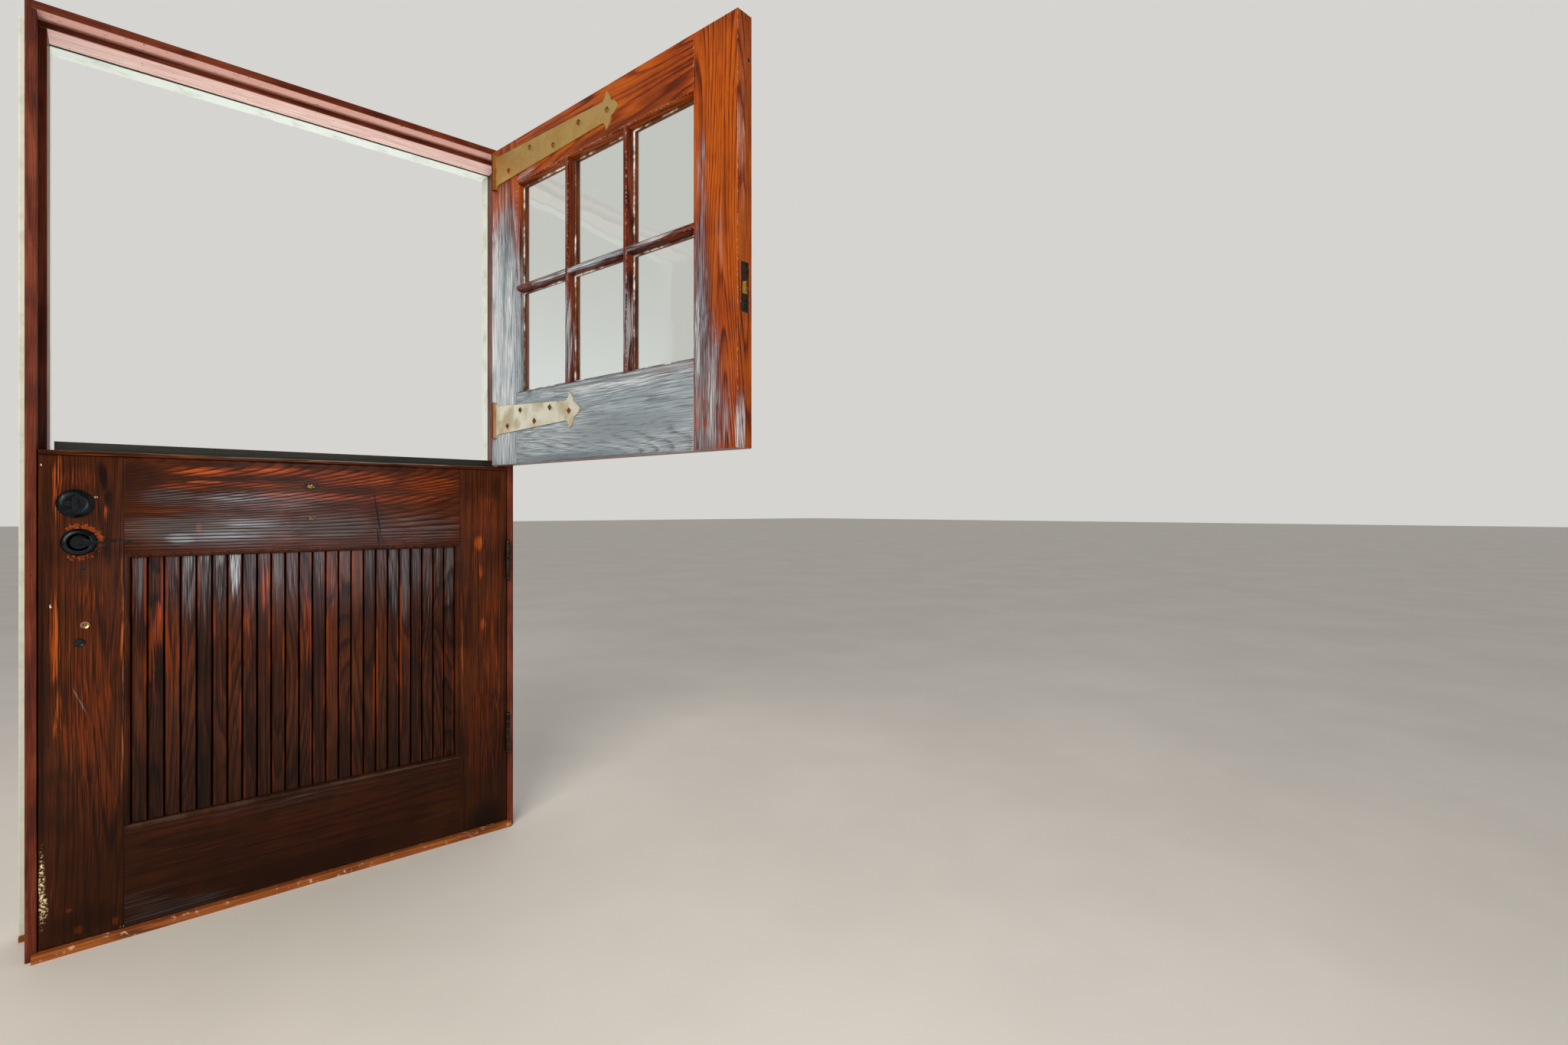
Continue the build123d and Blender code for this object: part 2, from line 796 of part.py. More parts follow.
def ring(section, width, x, z, y):
    """Four mitred lengths of one section round the inside of an opening."""
    corners = [(x[0], z[0]), (x[1], z[0]), (x[1], z[1]), (x[0], z[1])]
    pieces = []
    for start, end in zip(corners, corners[1:] + corners[:1]):
        length = math.dist(start, end)
        along = ((end[0] - start[0]) / length, (end[1] - start[1]) / length)
        inward = (-along[1], along[0])
        near = (start[0] + (along[0] + inward[0]) * width, start[1] + (along[1] + inward[1]) * width)
        far = (end[0] + (inward[0] - along[0]) * width, end[1] + (inward[1] - along[1]) * width)
        blank = member(section, (end[0], 0, end[1]), (inward[0], 0, inward[1]), length)
        pieces.append(blank & plate(polygon(start, end, far, near), y))
    return pieces


def panel_moulding(face, back):
    """Section of a panel moulding between the board face and just under the frame's face."""
    turn = 1 if back > face else -1
    quirk = face + turn * moulding_quirk
    foot = back - turn * moulding_quirk
    edge = Polyline(
        (moulding_width, foot), (moulding_width, back), (0, back), (0, face), (moulding_fillet, face),
        (moulding_fillet, quirk),
    )
    curve = ThreePointArc(
        (moulding_fillet, quirk),
        (moulding_width * 0.8, quirk + (foot - quirk) * 0.28),
        (moulding_width, foot),
    )
    return make_face(edge + curve)


def panel_mouldings(face, back):
    """The four lengths of moulding on one side of the panel."""
    x = (-opening_x, opening_x)
    z = (opening_low, opening_high)
    return ring(panel_moulding(face, back), moulding_width, x, z, (face, back))


def cap():
    """The cap along the lower leaf's top, with a rounded nose over the room face."""
    radius = cap_height / 2
    edge = Polyline(
        (-cap_nose + radius, cap_z), (leaf_thickness, cap_z), (leaf_thickness, meeting_z),
        (-cap_nose + radius, meeting_z),
    )
    nose = ThreePointArc(
        (-cap_nose + radius, meeting_z), (-cap_nose, cap_z + radius), (-cap_nose + radius, cap_z)
    )
    return bar(make_face(edge + nose), (-half_leaf, half_leaf))


def weather_lip():
    """The lip that stands behind the upper leaf when both are shut."""
    back = leaf_thickness + lip_thickness
    low = cap_z - lip_drop
    high = meeting_z + lip_rise
    section = polygon(
        (leaf_thickness, low), (back - lip_chamfer, low), (back, low + lip_chamfer),
        (back, high - lip_chamfer), (back - lip_chamfer, high), (leaf_thickness + lip_gap, high),
        (leaf_thickness + lip_gap, meeting_z), (leaf_thickness, meeting_z),
    )
    end = half_leaf - lip_inset
    return bar(section, (-end, end))


# Upper leaf, worked out as if it were shut


sash_stile = upper_stile + sticking_width - rabbet_width
sash_bottom = upper_bottom_rail + sticking_width - rabbet_width
sash_top = upper_top_rail + sticking_width - rabbet_width
glass_back = glass_y + glass_thickness
light_x = half_leaf - upper_stile
light_low = upper_z + upper_bottom_rail
light_high = upper_top - upper_top_rail
muntin_x = [-light_x + 2 * light_x * share for share in (1 / 3, 2 / 3)]
muntin_z = (light_low + light_high) / 2


def sticking(inner, outer):
    """The moulded edge from the glass line to the outdoor face, as an arc with a small square."""
    turn = 1 if inner > outer else -1
    base_y = leaf_thickness - sticking_depth
    square = leaf_thickness - sticking_quirk
    arc_end = (outer + turn * sticking_quirk / 2, square)
    middle = (outer + (inner - outer) * 0.78, base_y + (square - base_y) * 0.66)
    curve = ThreePointArc((inner, base_y), middle, arc_end)
    return curve + Polyline(arc_end, (outer, square), (outer, leaf_thickness))


def sash_section(width):
    """Section of a glazed stile or rail, with its width from the outer edge inwards."""
    edge = width + sticking_width
    inner = edge - rabbet_width
    base_y = leaf_thickness - sticking_depth
    straight = Polyline(
        (width, leaf_thickness), (0, leaf_thickness), (0, 0), (inner, 0), (inner, glass_back),
        (edge, glass_back), (edge, base_y),
    )
    return make_face(straight + sticking(edge, width))


def muntin_section():
    """Section of a glazing bar, with its nose outdoors and its web between the panes."""
    nose = muntin_nose / 2
    edge = nose + sticking_width
    web = muntin_web / 2
    base_y = leaf_thickness - sticking_depth
    foot = Polyline(
        (edge, base_y), (edge, glass_back), (web, glass_back), (web, 0), (-web, 0), (-web, glass_back),
        (-edge, glass_back), (-edge, base_y),
    )
    front = Line((nose, leaf_thickness), (-nose, leaf_thickness))
    return make_face(foot + front + sticking(edge, nose) + sticking(-edge, -nose))


def upper_tenon(side, z):
    """A tenon of an upper rail in one stile."""
    inner = half_leaf - sash_stile
    outer = inner + tenon_length
    y = (upper_tenon_face, upper_tenon_face + upper_tenon_thickness)
    return block((side * (inner - rabbet_width), side * outer), y, z)


upper_tenon_z = (
    (upper_z + tenon_shoulder, light_low - tenon_shoulder),
    (light_high + tenon_shoulder, upper_top - tenon_shoulder),
)


def upper_stile_blank(side):
    """A moulded stile of the upper leaf before its mortises."""
    corner_z = upper_z if side < 0 else upper_top
    return member(sash_section(upper_stile), (side * half_leaf, 0, corner_z), (-side, 0, 0), upper_height)


def upper_rail(width, corner, inward, tenon_z, cutters):
    """A moulded rail, coped to the stiles and tenoned into them."""
    length = leaf_width - 2 * sash_stile
    body = member(sash_section(width), corner, inward, length)
    for side in (-1, 1):
        body = body - upper_stile_blank(side)
    for side in (-1, 1):
        body = body + upper_tenon(side, tenon_z)
    return cut(body, cutters)


def vertical_muntins(rails):
    """The two upright glazing bars, coped to the rails."""
    length = upper_height - sash_bottom - sash_top
    bars = [member(muntin_section(), (x, 0, upper_z + sash_bottom), (1, 0, 0), length) for x in muntin_x]
    return [cut(one, rails) for one in bars]


def horizontal_muntins(uprights):
    """The three short glazing bars, coped to the stiles and the upright bars."""
    end = half_leaf - sash_stile
    body = member(muntin_section(), (end, 0, muntin_z), (0, 0, 1), 2 * end)
    return cut(body, uprights)


def panes():
    """Where the six panes lie, as pairs of X and Z between stiles, rails and webs."""
    web = muntin_web / 2
    end = half_leaf - sash_stile
    columns = ((-end, muntin_x[0] - web), (muntin_x[0] + web, muntin_x[1] - web), (muntin_x[1] + web, end))
    rows = ((upper_z + sash_bottom, muntin_z - web), (muntin_z + web, upper_top - sash_top))
    return [(column, row) for row in rows for column in columns]


def glass_pane(x, z):
    """A pane with a little play all round."""
    gap = glass_gap
    return block((x[0] + gap, x[1] - gap), (glass_y, glass_back), (z[0] + gap, z[1] - gap))


def glazing_beads(x, z):
    """The four mitred beads that hold a pane from the room side."""
    width = rabbet_width
    face = polygon(
        (0, glass_y), (0, bead_recess), (width - bead_chamfer, bead_recess),
        (width, bead_recess + bead_chamfer), (width, glass_y),
    )
    return ring(face, width, x, z, (bead_recess, glass_y))


# Strap hinges


def strap_side(neck, turn):
    """One long edge of a strap, from the knuckle to the tip of the spear."""
    root = (strap_shoulder_end, turn * strap_root_half)
    shoulder = (strap_shoulder_start, turn * strap_knuckle_half)
    hollow = (strap_shoulder_start + 5, turn * (strap_root_half + 5))
    ear = (neck + ear_reach, turn * ear_half)
    notch = (neck + notch_reach, turn * notch_half)
    line = Line((strap_knuckle_inset, turn * strap_knuckle_half), shoulder)
    line = line + ThreePointArc(shoulder, hollow, root)
    line = line + Line(root, (neck, turn * strap_neck_half))
    line = line + ThreePointArc((neck, turn * strap_neck_half), (neck + 9, turn * (strap_neck_half + 7)), ear)
    line = line + ThreePointArc(ear, (neck + notch_reach * 0.86, turn * notch_half * 1.75), notch)
    return line + ThreePointArc(
        notch, (neck + spear_reach * 0.83, turn * notch_half * 0.62), (neck + spear_reach, 0)
    )


def strap(neck, z, nails):
    """A strap hinge with its rolled knuckle and pin ends, pierced for its nails."""
    root = Line((strap_knuckle_inset, strap_knuckle_half), (strap_knuckle_inset, -strap_knuckle_half))
    outline = make_face(strap_side(neck, 1) + strap_side(neck, -1) + root)
    face = (leaf_thickness, leaf_thickness + strap_thickness)
    plane = Plane(origin=(half_leaf, face[0], z), x_dir=(-1, 0, 0), z_dir=outdoors)
    body = extrude(plane * outline, strap_thickness)
    x = half_leaf - strap_knuckle_inset
    y = leaf_thickness + strap_knuckle_radius
    ends = strap_knuckle_half + strap_pin_end
    body = body + rod(strap_knuckle_radius, (x, y, z - strap_knuckle_half), (x, y, z + strap_knuckle_half))
    body = body + rod(strap_knuckle_radius / 2, (x, y, z - ends), (x, y, z + ends))
    return cut(body, [nail_shank_at(place, z, screw_gap) for place in nails])


def nail_shank_at(place, z, slack=0.0):
    """A nail's shank from the strap's face into the wood, or its hole."""
    x = half_leaf - place[0]
    face = leaf_thickness + strap_thickness
    return rod(nail_shank + slack, (x, face, z + place[1]), (x, face - nail_length - slack, z + place[1]))


def nail(place, z):
    """A square-headed nail with a pyramid head set on its corner."""
    low = (nail_head - nail_head_flat) / 2
    high = (nail_head + nail_head_flat) / 2
    head = Wedge(
        nail_head, nail_head_height, nail_head, low, low, high, high,
        align=(Align.CENTER, Align.MIN, Align.CENTER),
    )
    x = half_leaf - place[0]
    face = leaf_thickness + strap_thickness
    return Pos(x, face, z + place[1]) * Rot(0, 45, 0) * head + nail_shank_at(place, z)


# Latch of the upper leaf


def upper_case():
    """The mortise case behind the upper faceplate, hollow where its bolt slides."""
    x0 = -half_leaf + faceplate_thickness
    half_y = upper_case_width / 2
    half_z = upper_case_height / 2
    body = block(
        (x0, x0 + upper_case_depth), (mid_y - half_y, mid_y + half_y),
        (upper_latch_z - half_z, upper_latch_z + half_z),
    )
    gap = bolt_gap
    bolt_y = upper_bolt_width / 2 + gap
    bolt_z = upper_bolt_height / 2 + gap
    channel = block(
        (x0, -half_leaf + upper_bolt_length + gap), (mid_y - bolt_y, mid_y + bolt_y),
        (upper_latch_z - bolt_z, upper_latch_z + bolt_z),
    )
    hub = rod(tail_width * 0.7, (upper_turn_x, 0, upper_latch_z), (upper_turn_x, leaf_thickness, upper_latch_z))
    return body - channel - hub


def upper_case_mortise():
    """The mortise for the case, and the hole for the turn's spindle."""
    x0 = -half_leaf
    half_y = upper_case_width / 2
    half_z = upper_case_height / 2
    mortise = block(
        (x0, x0 + faceplate_thickness + upper_case_depth), (mid_y - half_y, mid_y + half_y),
        (upper_latch_z - half_z, upper_latch_z + half_z),
    )
    radius = turn_spindle_radius + hub_gap
    hole = rod(radius, (upper_turn_x, 0, upper_latch_z), (upper_turn_x, mid_y, upper_latch_z))
    return [mortise, hole]


def upper_rose():
    """The small indoor rose behind the upper thumb turn."""
    radius = upper_rose_radius
    height = upper_rose_height
    edge = Polyline((radius - 3, height), (0, height), (0, 0), (radius, 0), (radius, 2))
    curve = TangentArc((radius - 3, height), (radius, 2), tangent=(1, 0))
    body = turned(make_face(edge + curve), (upper_turn_x, 0, upper_latch_z), room)
    hole_radius = turn_spindle_radius + hub_gap
    return body - rod(hole_radius, (upper_turn_x, 0, upper_latch_z), (upper_turn_x, -height, upper_latch_z))


def edge_plug(slack=0.0):
    """The round plug in the upper leaf's free edge, or its hole."""
    z = upper_top - plug_drop
    radius = plug_radius + slack
    return rod(radius, (-half_leaf, plug_depth, z), (-half_leaf + plug_length, plug_depth, z))


def swung(pieces):
    """Upper leaf pieces turned about the hinge pins to where the leaf stands open."""
    turn = Pos(pin_x, pin_y, 0) * Rot(0, 0, open_angle) * Pos(-pin_x, -pin_y, 0)
    return [turn * piece for piece in pieces]


def save(name, pieces):
    """Write one node, a single solid or a group of like solids."""
    export_step(all_of(pieces), f"parts/{name}.step")


def build_frame():
    """Sill, jambs, head, casing, strikes and the fixed half of each hinge."""
    head = head_jamb()
    threshold = sill()
    hinge_heights = lower_hinges + upper_hinges
    hinge_cutters = [hinge_recess(rabbet_x, 1, z) for z in hinge_heights] + jamb_hinge_screws(screw_gap)
    save("threshold", [threshold])
    save("head_jamb", [head])
    save("latch_jamb", [jamb(-1, [head, threshold] + strike_cutters())])
    save("hinge_jamb", [jamb(1, [head, threshold] + hinge_cutters)])
    save("side_casings", [side_casing(side, [threshold]) for side in (-1, 1)])
    save("head_casing", [head_casing()])
    save("seal_strips", seal_strips([threshold]))
    plates = [hinge_plate(rabbet_x, 1, z, jamb_knuckles, jamb_screw_length) for z in hinge_heights]
    save("hinge_jamb_plates", plates)
    save("hinge_pins", [hinge_pin(z) for z in hinge_heights])
    save("hinge_jamb_screws", jamb_hinge_screws())
    save("strikes", [strike(*row[:5]) for row in strikes])
    save("strike_screws", [one for row in strikes for one in strike_screws(row[0], row[4])])


def build_lower_leaf():
    """The lower leaf's joinery, panel, cap and hinge plates."""
    hinge_cutters = [hinge_recess(half_leaf, -1, z) for z in lower_hinges]
    hinge_cutters = hinge_cutters + leaf_hinge_screws(lower_hinges, screw_gap)
    save("lower_latch_stile", [lower_stile_body(-1, latch_stile_cutters())])
    save("lower_hinge_stile", [lower_stile_body(1, hinge_cutters)])
    bottom_groove = (opening_low - groove_depth, opening_low)
    top_groove = (opening_high, opening_high + groove_depth)
    save("lower_bottom_rail", [lower_rail((foot_z, opening_low), bottom_groove, lower_tenons[0::2])])
    save("lower_top_rail", [lower_rail((opening_high, cap_z), top_groove, lower_tenons[1::2])])
    save("panel_boards", [board(index) for index in range(board_count)])
    save("room_panel_mouldings", panel_mouldings(moulding_set_back, panel_face))
    save("outdoor_panel_mouldings", panel_mouldings(leaf_thickness - moulding_set_back, panel_back))
    save("cap", [cap()])
    save("weather_lip", [weather_lip()])
    plates = [hinge_plate(half_leaf, -1, z, leaf_knuckles, leaf_screw_length) for z in lower_hinges]
    save("lower_hinge_plates", plates)
    save("lower_hinge_screws", leaf_hinge_screws(lower_hinges))


def build_locks():
    """The deadbolt, the lever latch and the small fittings of the lower leaf."""
    save("deadbolt_rose", [deadbolt_rose()])
    save("deadbolt_cylinder", [deadbolt_cylinder()])
    save("deadbolt_rose_screws", rose_screws())
    save("bolt_cases", [tube_case(deadbolt_x, deadbolt_z), tube_case(lever_x, lever_z)])
    save("deadbolt", [square_bolt(deadbolt_z)])
    hole = (bolt_width + 2 * bolt_gap, bolt_height + 2 * bolt_gap)
    plates = [
        edge_plate(faceplate_height, faceplate_width, z, hole, faceplate_screw_pitch)
        for z in (deadbolt_z, lever_z)
    ]
    save("lock_faceplates", plates)
    tail_end = leaf_thickness - hub_gap
    save("deadbolt_turn", [thumb_turn(deadbolt_x, deadbolt_z, deadbolt_rose_height, tail_end)])
    save("lever_roses", [lever_rose(0, room), lever_rose(leaf_thickness, outdoors)])
    save("room_lever", [lever(0, -1)])
    save("outdoor_lever", [lever(leaf_thickness, 1)])
    save("lever_spindle", [lever_spindle()])
    save("latch_bolt", [bevelled_bolt(lever_z, bolt_width, bolt_height, bolt_length)])
    faceplate_screws = [edge_plate_screws(z, faceplate_screw_pitch) for z in (deadbolt_z, lever_z)]
    save("faceplate_screws", [one for pair in faceplate_screws for one in pair])
    save("brass_washer", [cup_washer(brass_washer_place, brass_washer_radius)])
    save("brass_washer_screw", [washer_screw(brass_washer_place)])
    save("black_washer", [cup_washer(black_washer_place, black_washer_radius)])
    save("black_washer_screws", [washer_screw(black_washer_place), small_screw()])


def build_upper_leaf():
    """The upper leaf's joinery, glazing, straps and latch, all swung open."""
    upper_strap_z = upper_top - upper_strap_drop
    lower_strap_z = upper_z + lower_strap_rise
    straps = (
        ("upper_strap", upper_strap_neck, upper_strap_z, upper_strap_nails),
        ("lower_strap", lower_strap_neck, lower_strap_z, lower_strap_nails),
    )
    nail_holes = [nail_shank_at(place, z, screw_gap) for _, _, z, nails in straps for place in nails]
    tenons = [upper_tenon(side, z) for side in (-1, 1) for z in upper_tenon_z]
    latch_cutters = upper_case_mortise() + [edge_plug(screw_gap)]
    latch_cutters.append(edge_plate_recess(upper_plate_height, upper_plate_width, upper_latch_z))
    latch_cutters.extend(edge_plate_screws(upper_latch_z, upper_screw_pitch, screw_gap))
    hinge_cutters = [hinge_recess(half_leaf, -1, z) for z in upper_hinges]
    hinge_cutters = hinge_cutters + leaf_hinge_screws(upper_hinges, screw_gap) + nail_holes
    inner = half_leaf - sash_stile
    bottom = upper_rail(
        upper_bottom_rail, (inner, 0, upper_z), (0, 0, 1), upper_tenon_z[0], nail_holes
    )
    top = upper_rail(
        upper_top_rail, (-inner, 0, upper_top), (0, 0, -1), upper_tenon_z[1], nail_holes
    )
    uprights = vertical_muntins([bottom, top])
    stiles = [upper_stile_blank(-1), upper_stile_blank(1)]
    save("upper_latch_stile", swung([cut(stiles[0], tenons + latch_cutters)]))
    save("upper_hinge_stile", swung([cut(stiles[1], tenons + hinge_cutters)]))
    save("upper_bottom_rail", swung([bottom]))
    save("upper_top_rail", swung([top]))
    save("vertical_muntins", swung(uprights))
    save("horizontal_muntins", swung([horizontal_muntins(stiles + uprights)]))
    save("glass_panes", swung([glass_pane(x, z) for x, z in panes()]))
    save("glazing_beads", swung([bead for x, z in panes() for bead in glazing_beads(x, z)]))
    for name, neck, z, nails in straps:
        save(name, swung([strap(neck, z, nails)]))
    save("strap_nails", swung([nail(place, z) for _, _, z, nails in straps for place in nails]))
    plates = [hinge_plate(half_leaf, -1, z, leaf_knuckles, leaf_screw_length) for z in upper_hinges]
    save("upper_hinge_plates", swung(plates))
    save("upper_hinge_screws", swung(leaf_hinge_screws(upper_hinges)))
    hole = (upper_bolt_width + 2 * bolt_gap, upper_bolt_height + 2 * bolt_gap)
    faceplate = edge_plate(upper_plate_height, upper_plate_width, upper_latch_z, hole, upper_screw_pitch)
    save("upper_faceplate", swung([faceplate]))
    save("upper_faceplate_screws", swung(edge_plate_screws(upper_latch_z, upper_screw_pitch)))
    save("upper_case", swung([upper_case()]))
    bolt = bevelled_bolt(upper_latch_z, upper_bolt_width, upper_bolt_height, upper_bolt_length)
    save("upper_bolt", swung([bolt]))
    save("upper_rose", swung([upper_rose()]))
    tail_end = mid_y + upper_case_width / 2 - hub_gap
    turn = thumb_turn(upper_turn_x, upper_latch_z, upper_rose_height, tail_end)
    save("upper_turn", swung([turn]))
    save("edge_plug", swung([edge_plug()]))


os.makedirs("parts", exist_ok=True)
build_frame()
build_lower_leaf()
build_locks()
build_upper_leaf()
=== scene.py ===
"""Dresses a two-part stable door and its frame: eased wood, varnish, brass and glass."""

import json
import math

import bmesh
import bpy
from bpy.props import FloatProperty, FloatVectorProperty, PointerProperty
from bpy.types import Operator, Panel, PropertyGroup
from mathutils import Euler, Matrix, Vector, noise


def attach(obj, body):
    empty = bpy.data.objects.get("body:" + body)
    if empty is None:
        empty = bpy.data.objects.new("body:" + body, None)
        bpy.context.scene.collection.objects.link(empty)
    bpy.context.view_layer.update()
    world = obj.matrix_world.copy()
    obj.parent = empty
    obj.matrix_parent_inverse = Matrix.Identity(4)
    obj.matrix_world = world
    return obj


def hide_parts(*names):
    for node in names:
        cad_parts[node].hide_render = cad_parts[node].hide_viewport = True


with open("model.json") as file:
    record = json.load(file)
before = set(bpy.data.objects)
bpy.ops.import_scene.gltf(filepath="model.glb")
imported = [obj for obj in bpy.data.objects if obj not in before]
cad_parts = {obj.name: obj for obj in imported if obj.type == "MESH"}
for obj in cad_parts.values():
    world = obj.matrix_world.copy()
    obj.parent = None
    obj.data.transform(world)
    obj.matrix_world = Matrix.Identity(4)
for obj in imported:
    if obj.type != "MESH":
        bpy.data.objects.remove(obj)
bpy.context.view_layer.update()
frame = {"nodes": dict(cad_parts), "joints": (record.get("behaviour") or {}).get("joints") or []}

bl_info = {
    "name": "Stable Door",
    "version": (1, 0, 0),
    "blender": (4, 5, 0),
    "location": "View3D > Sidebar > Stable Door",
    "description": "Finishes each piece of a two-part stable door and its frame",
    "category": "Object",
}

MM = 0.001

# Edges shorter than this stay sharp
EASED_LENGTH = 40 * MM
# Width of the wood's streaks, and how much they are drawn out along the grain
FIBRE_WIDTH = 1.9 * MM
FIBRE_STRETCH = 0.016

# The upper leaf stands open: its pin, and the turn about it since it was shut
swing = next(joint for joint in frame["joints"] if joint["name"] == "upper_leaf_swing")
pin = Vector(swing["pos_m"])
opened = -math.radians(swing["range_deg"][0])
open_turn = Matrix.Translation(pin) @ Matrix.Rotation(opened, 4, "Z") @ Matrix.Translation(-pin)

# The photograph's camera
PHOTO_WIDTH = 2048
PHOTO_FOCUS = 960.0
PHOTO_RISE = -16.5
CAMERA_PLACE = (-0.3716, -2.259, 0.974)
CAMERA_YAW = 41.96

# Sight edges of the panes outdoors with the upper leaf shut, in mm
PANE_SIDES = ((-365, -134.67), (-112.67, 112.67), (134.67, 365))
PANE_HEIGHTS = ((1318, 1607), (1629, 1918))

# Wear, marks, painted sheen and painted highlights on the room side of the lower leaf and the outdoor side of
# the upper leaf. Each entry is a dark and a light shade, how far it covers, and spots of X, Z, half sizes in
# X and Z in mm, strength and lean in degrees. The upper leaf's are set out as if it were shut.

WORN = ("#6a290d", "#bf5c20")
RED = ("#4a1a0a", "#a24416")
WARM = ("#411808", "#7c3410")
SOOT = ("#050201", "#0e0703")
# Painted sheen and painted highlights: blue-grey and blue-white reflections of a window in the lower leaf's
# varnish
PAINTED_SHEEN = ("#2c2522", "#6a6f74")
PAINTED_HIGHLIGHT = ("#50565c", "#c3cfda")
PAINT = ("#cfcabf", "#efece4")

LATCH_STILE_MARKS = (
    (
        *WARM, 0.85,
        (
            (-435, 640, 66, 200, 0.35), (-430, 500, 66, 190, 0.5), (-415, 340, 60, 190, 0.4),
            (-440, 1045, 60, 40, 0.3), (-430, 775, 40, 60, 0.35),
        ),
    ),
    (
        *WORN, 0.85,
        (
            (-478, 1030, 14, 110, 0.45), (-484, 690, 13, 140, 0.5), (-478, 520, 12, 90, 0.35),
            (-484, 150, 10, 90, 0.3), (-400, 965, 8, 50, 0.25), (-373, 700, 5, 210, 0.5),
            (-373, 420, 4, 160, 0.35), (-446, 42, 11, 16, 0.9), (-462, 90, 10, 8, 0.6),
            (-384, 40, 10, 16, 0.5),
        ),
    ),
    (
        *SOOT, 0.85,
        (
            (-405, 1050, 12, 52, 0.8, -6), (-396, 1000, 12, 34, 0.7), (-503, 560, 8, 620, 0.6),
            (-440, 60, 90, 60, 0.4),
        ),
    ),
    ("#4a453e", "#8a857c", 0.6, ((-442, 546, 2.4, 52, 0.8, -20.7), (-372, 560, 2.0, 330, 0.25))),
)
# Worn wood in an arc round the lever's rose, by angle and strength
LEVER_X, LEVER_Z = -444.5, 902.5
HALO_RADIUS, HALO_SPOT = 35, 11
HALO_TURNS = (
    (-110, 0.5), (-85, 0.6), (-60, 0.5), (-30, 0.4), (-5, 0.6), (15, 0.8), (35, 0.9), (55, 0.9),
    (75, 0.9), (95, 0.8), (115, 0.5),
)
LEVER_HALO = tuple(
    (
        LEVER_X + HALO_RADIUS * math.cos(math.radians(turn)),
        LEVER_Z + HALO_RADIUS * math.sin(math.radians(turn)),
        HALO_SPOT, HALO_SPOT, strength,
    )
    for turn, strength in HALO_TURNS
)
LATCH_STILE_DOTS = (
    ("#5a220c", "#b8571c", 0.65, LEVER_HALO),
    (*PAINT, 1.0, ((-489, 763, 3, 7, 0.7), (-504, 1071, 2, 4, 0.5), (-360, 22, 20, 5, 0.6))),
    (
        "#8a5a30", "#f0d8b0", 1.0,
        ((-503, 150, 7, 120, 0.5), (-499, 110, 8, 40, 0.45), (-417, 1003, 4, 4, 0.8)),
    ),
)
HINGE_STILE_MARKS = (
    (
        *WARM, 0.85,
        (
            (440, 300, 80, 260, 0.45), (440, 950, 60, 140, 0.35), (455, 600, 50, 260, 0.35),
            (420, 820, 40, 110, 0.4),
        ),
    ),
    (
        *WORN, 0.9,
        (
            (424, 873, 18, 34, 0.75), (437, 629, 14, 28, 0.45), (430, 790, 12, 34, 0.35),
            (480, 430, 12, 160, 0.25), (376, 560, 5, 330, 0.3), (452, 1000, 10, 90, 0.25),
        ),
    ),
    (*SOOT, 0.8, ((450, 40, 90, 90, 0.6), (504, 600, 8, 620, 0.5), (478, 1040, 20, 70, 0.4))),
)
TOP_RAIL_MARKS = (
    (
        *RED, 0.9,
        (
            (-215, 1066, 110, 20, 0.55), (-90, 1074, 130, 24, 0.5), (80, 1060, 190, 40, 0.36),
            (290, 1050, 140, 44, 0.3), (-275, 1030, 100, 8, 0.4), (-150, 1036, 140, 9, 0.4),
            (0, 1008, 220, 18, 0.45), (220, 1005, 200, 20, 0.3), (-299, 971, 80, 8, 0.3),
            (-90, 985, 160, 8, 0.3), (-60, 902, 100, 7, 0.3),
        ),
    ),
    (
        *WORN, 0.9,
        (
            (-225, 1066, 60, 9, 0.6), (-100, 1074, 60, 9, 0.5), (-225, 1041, 50, 5, 0.5),
            (-80, 1013, 70, 7, 0.45), (-236, 930, 9, 20, 0.5), (160, 1050, 60, 12, 0.3),
        ),
    ),
    (
        "#0c0b07", "#1c150e", 0.8,
        (
            (-180, 1084, 200, 12, 0.4), (-170, 1052, 90, 10, 0.45), (-6, 1036, 30, 16, 0.7),
            (-50, 1052, 110, 14, 0.5), (-345, 1050, 80, 60, 0.5), (60, 1084, 320, 10, 0.3),
        ),
    ),
    # Painted sheen: a window's reflection in the varnish across the rail's middle
    (
        *PAINTED_SHEEN, 0.6,
        (
            (-190, 925, 280, 64, 0.6), (-110, 995, 240, 44, 0.45), (30, 930, 200, 60, 0.4),
            (-290, 1005, 90, 34, 0.35), (240, 920, 240, 70, 0.3),
        ),
    ),
    # Painted highlights within that sheen
    (
        *PAINTED_HIGHLIGHT, 0.5,
        (
            (-190, 912, 150, 24, 0.35), (-130, 940, 120, 22, 0.3), (-268, 906, 44, 22, 0.5),
            (-160, 1003, 110, 18, 0.25),
        ),
    ),
    (*SOOT, 0.9, ((151, 958, 3.2, 100, 0.8, -8.5), (152, 900, 4, 34, 0.8, -5), (-4, 952, 16, 7, 0.6))),
)
TOP_RAIL_DOTS = (("#5a3a10", "#c8963a", 1.0, ((-6, 1036, 13, 8, 0.6), (-4, 952, 14, 6, 0.5))),)
BOTTOM_RAIL_MARKS = (
    (
        "#35130a", "#5e230f", 0.8,
        ((-150, 150, 300, 60, 0.35), (150, 140, 300, 70, 0.35), (-240, 220, 180, 24, 0.35)),
    ),
    # Painted sheen low on the bottom rail
    (*PAINTED_SHEEN, 0.5, ((-290, 36, 190, 26, 0.6), (-340, 70, 90, 40, 0.4), (-60, 226, 360, 14, 0.3))),
    (*SOOT, 0.7, ((60, 50, 420, 50, 0.4),)),
)
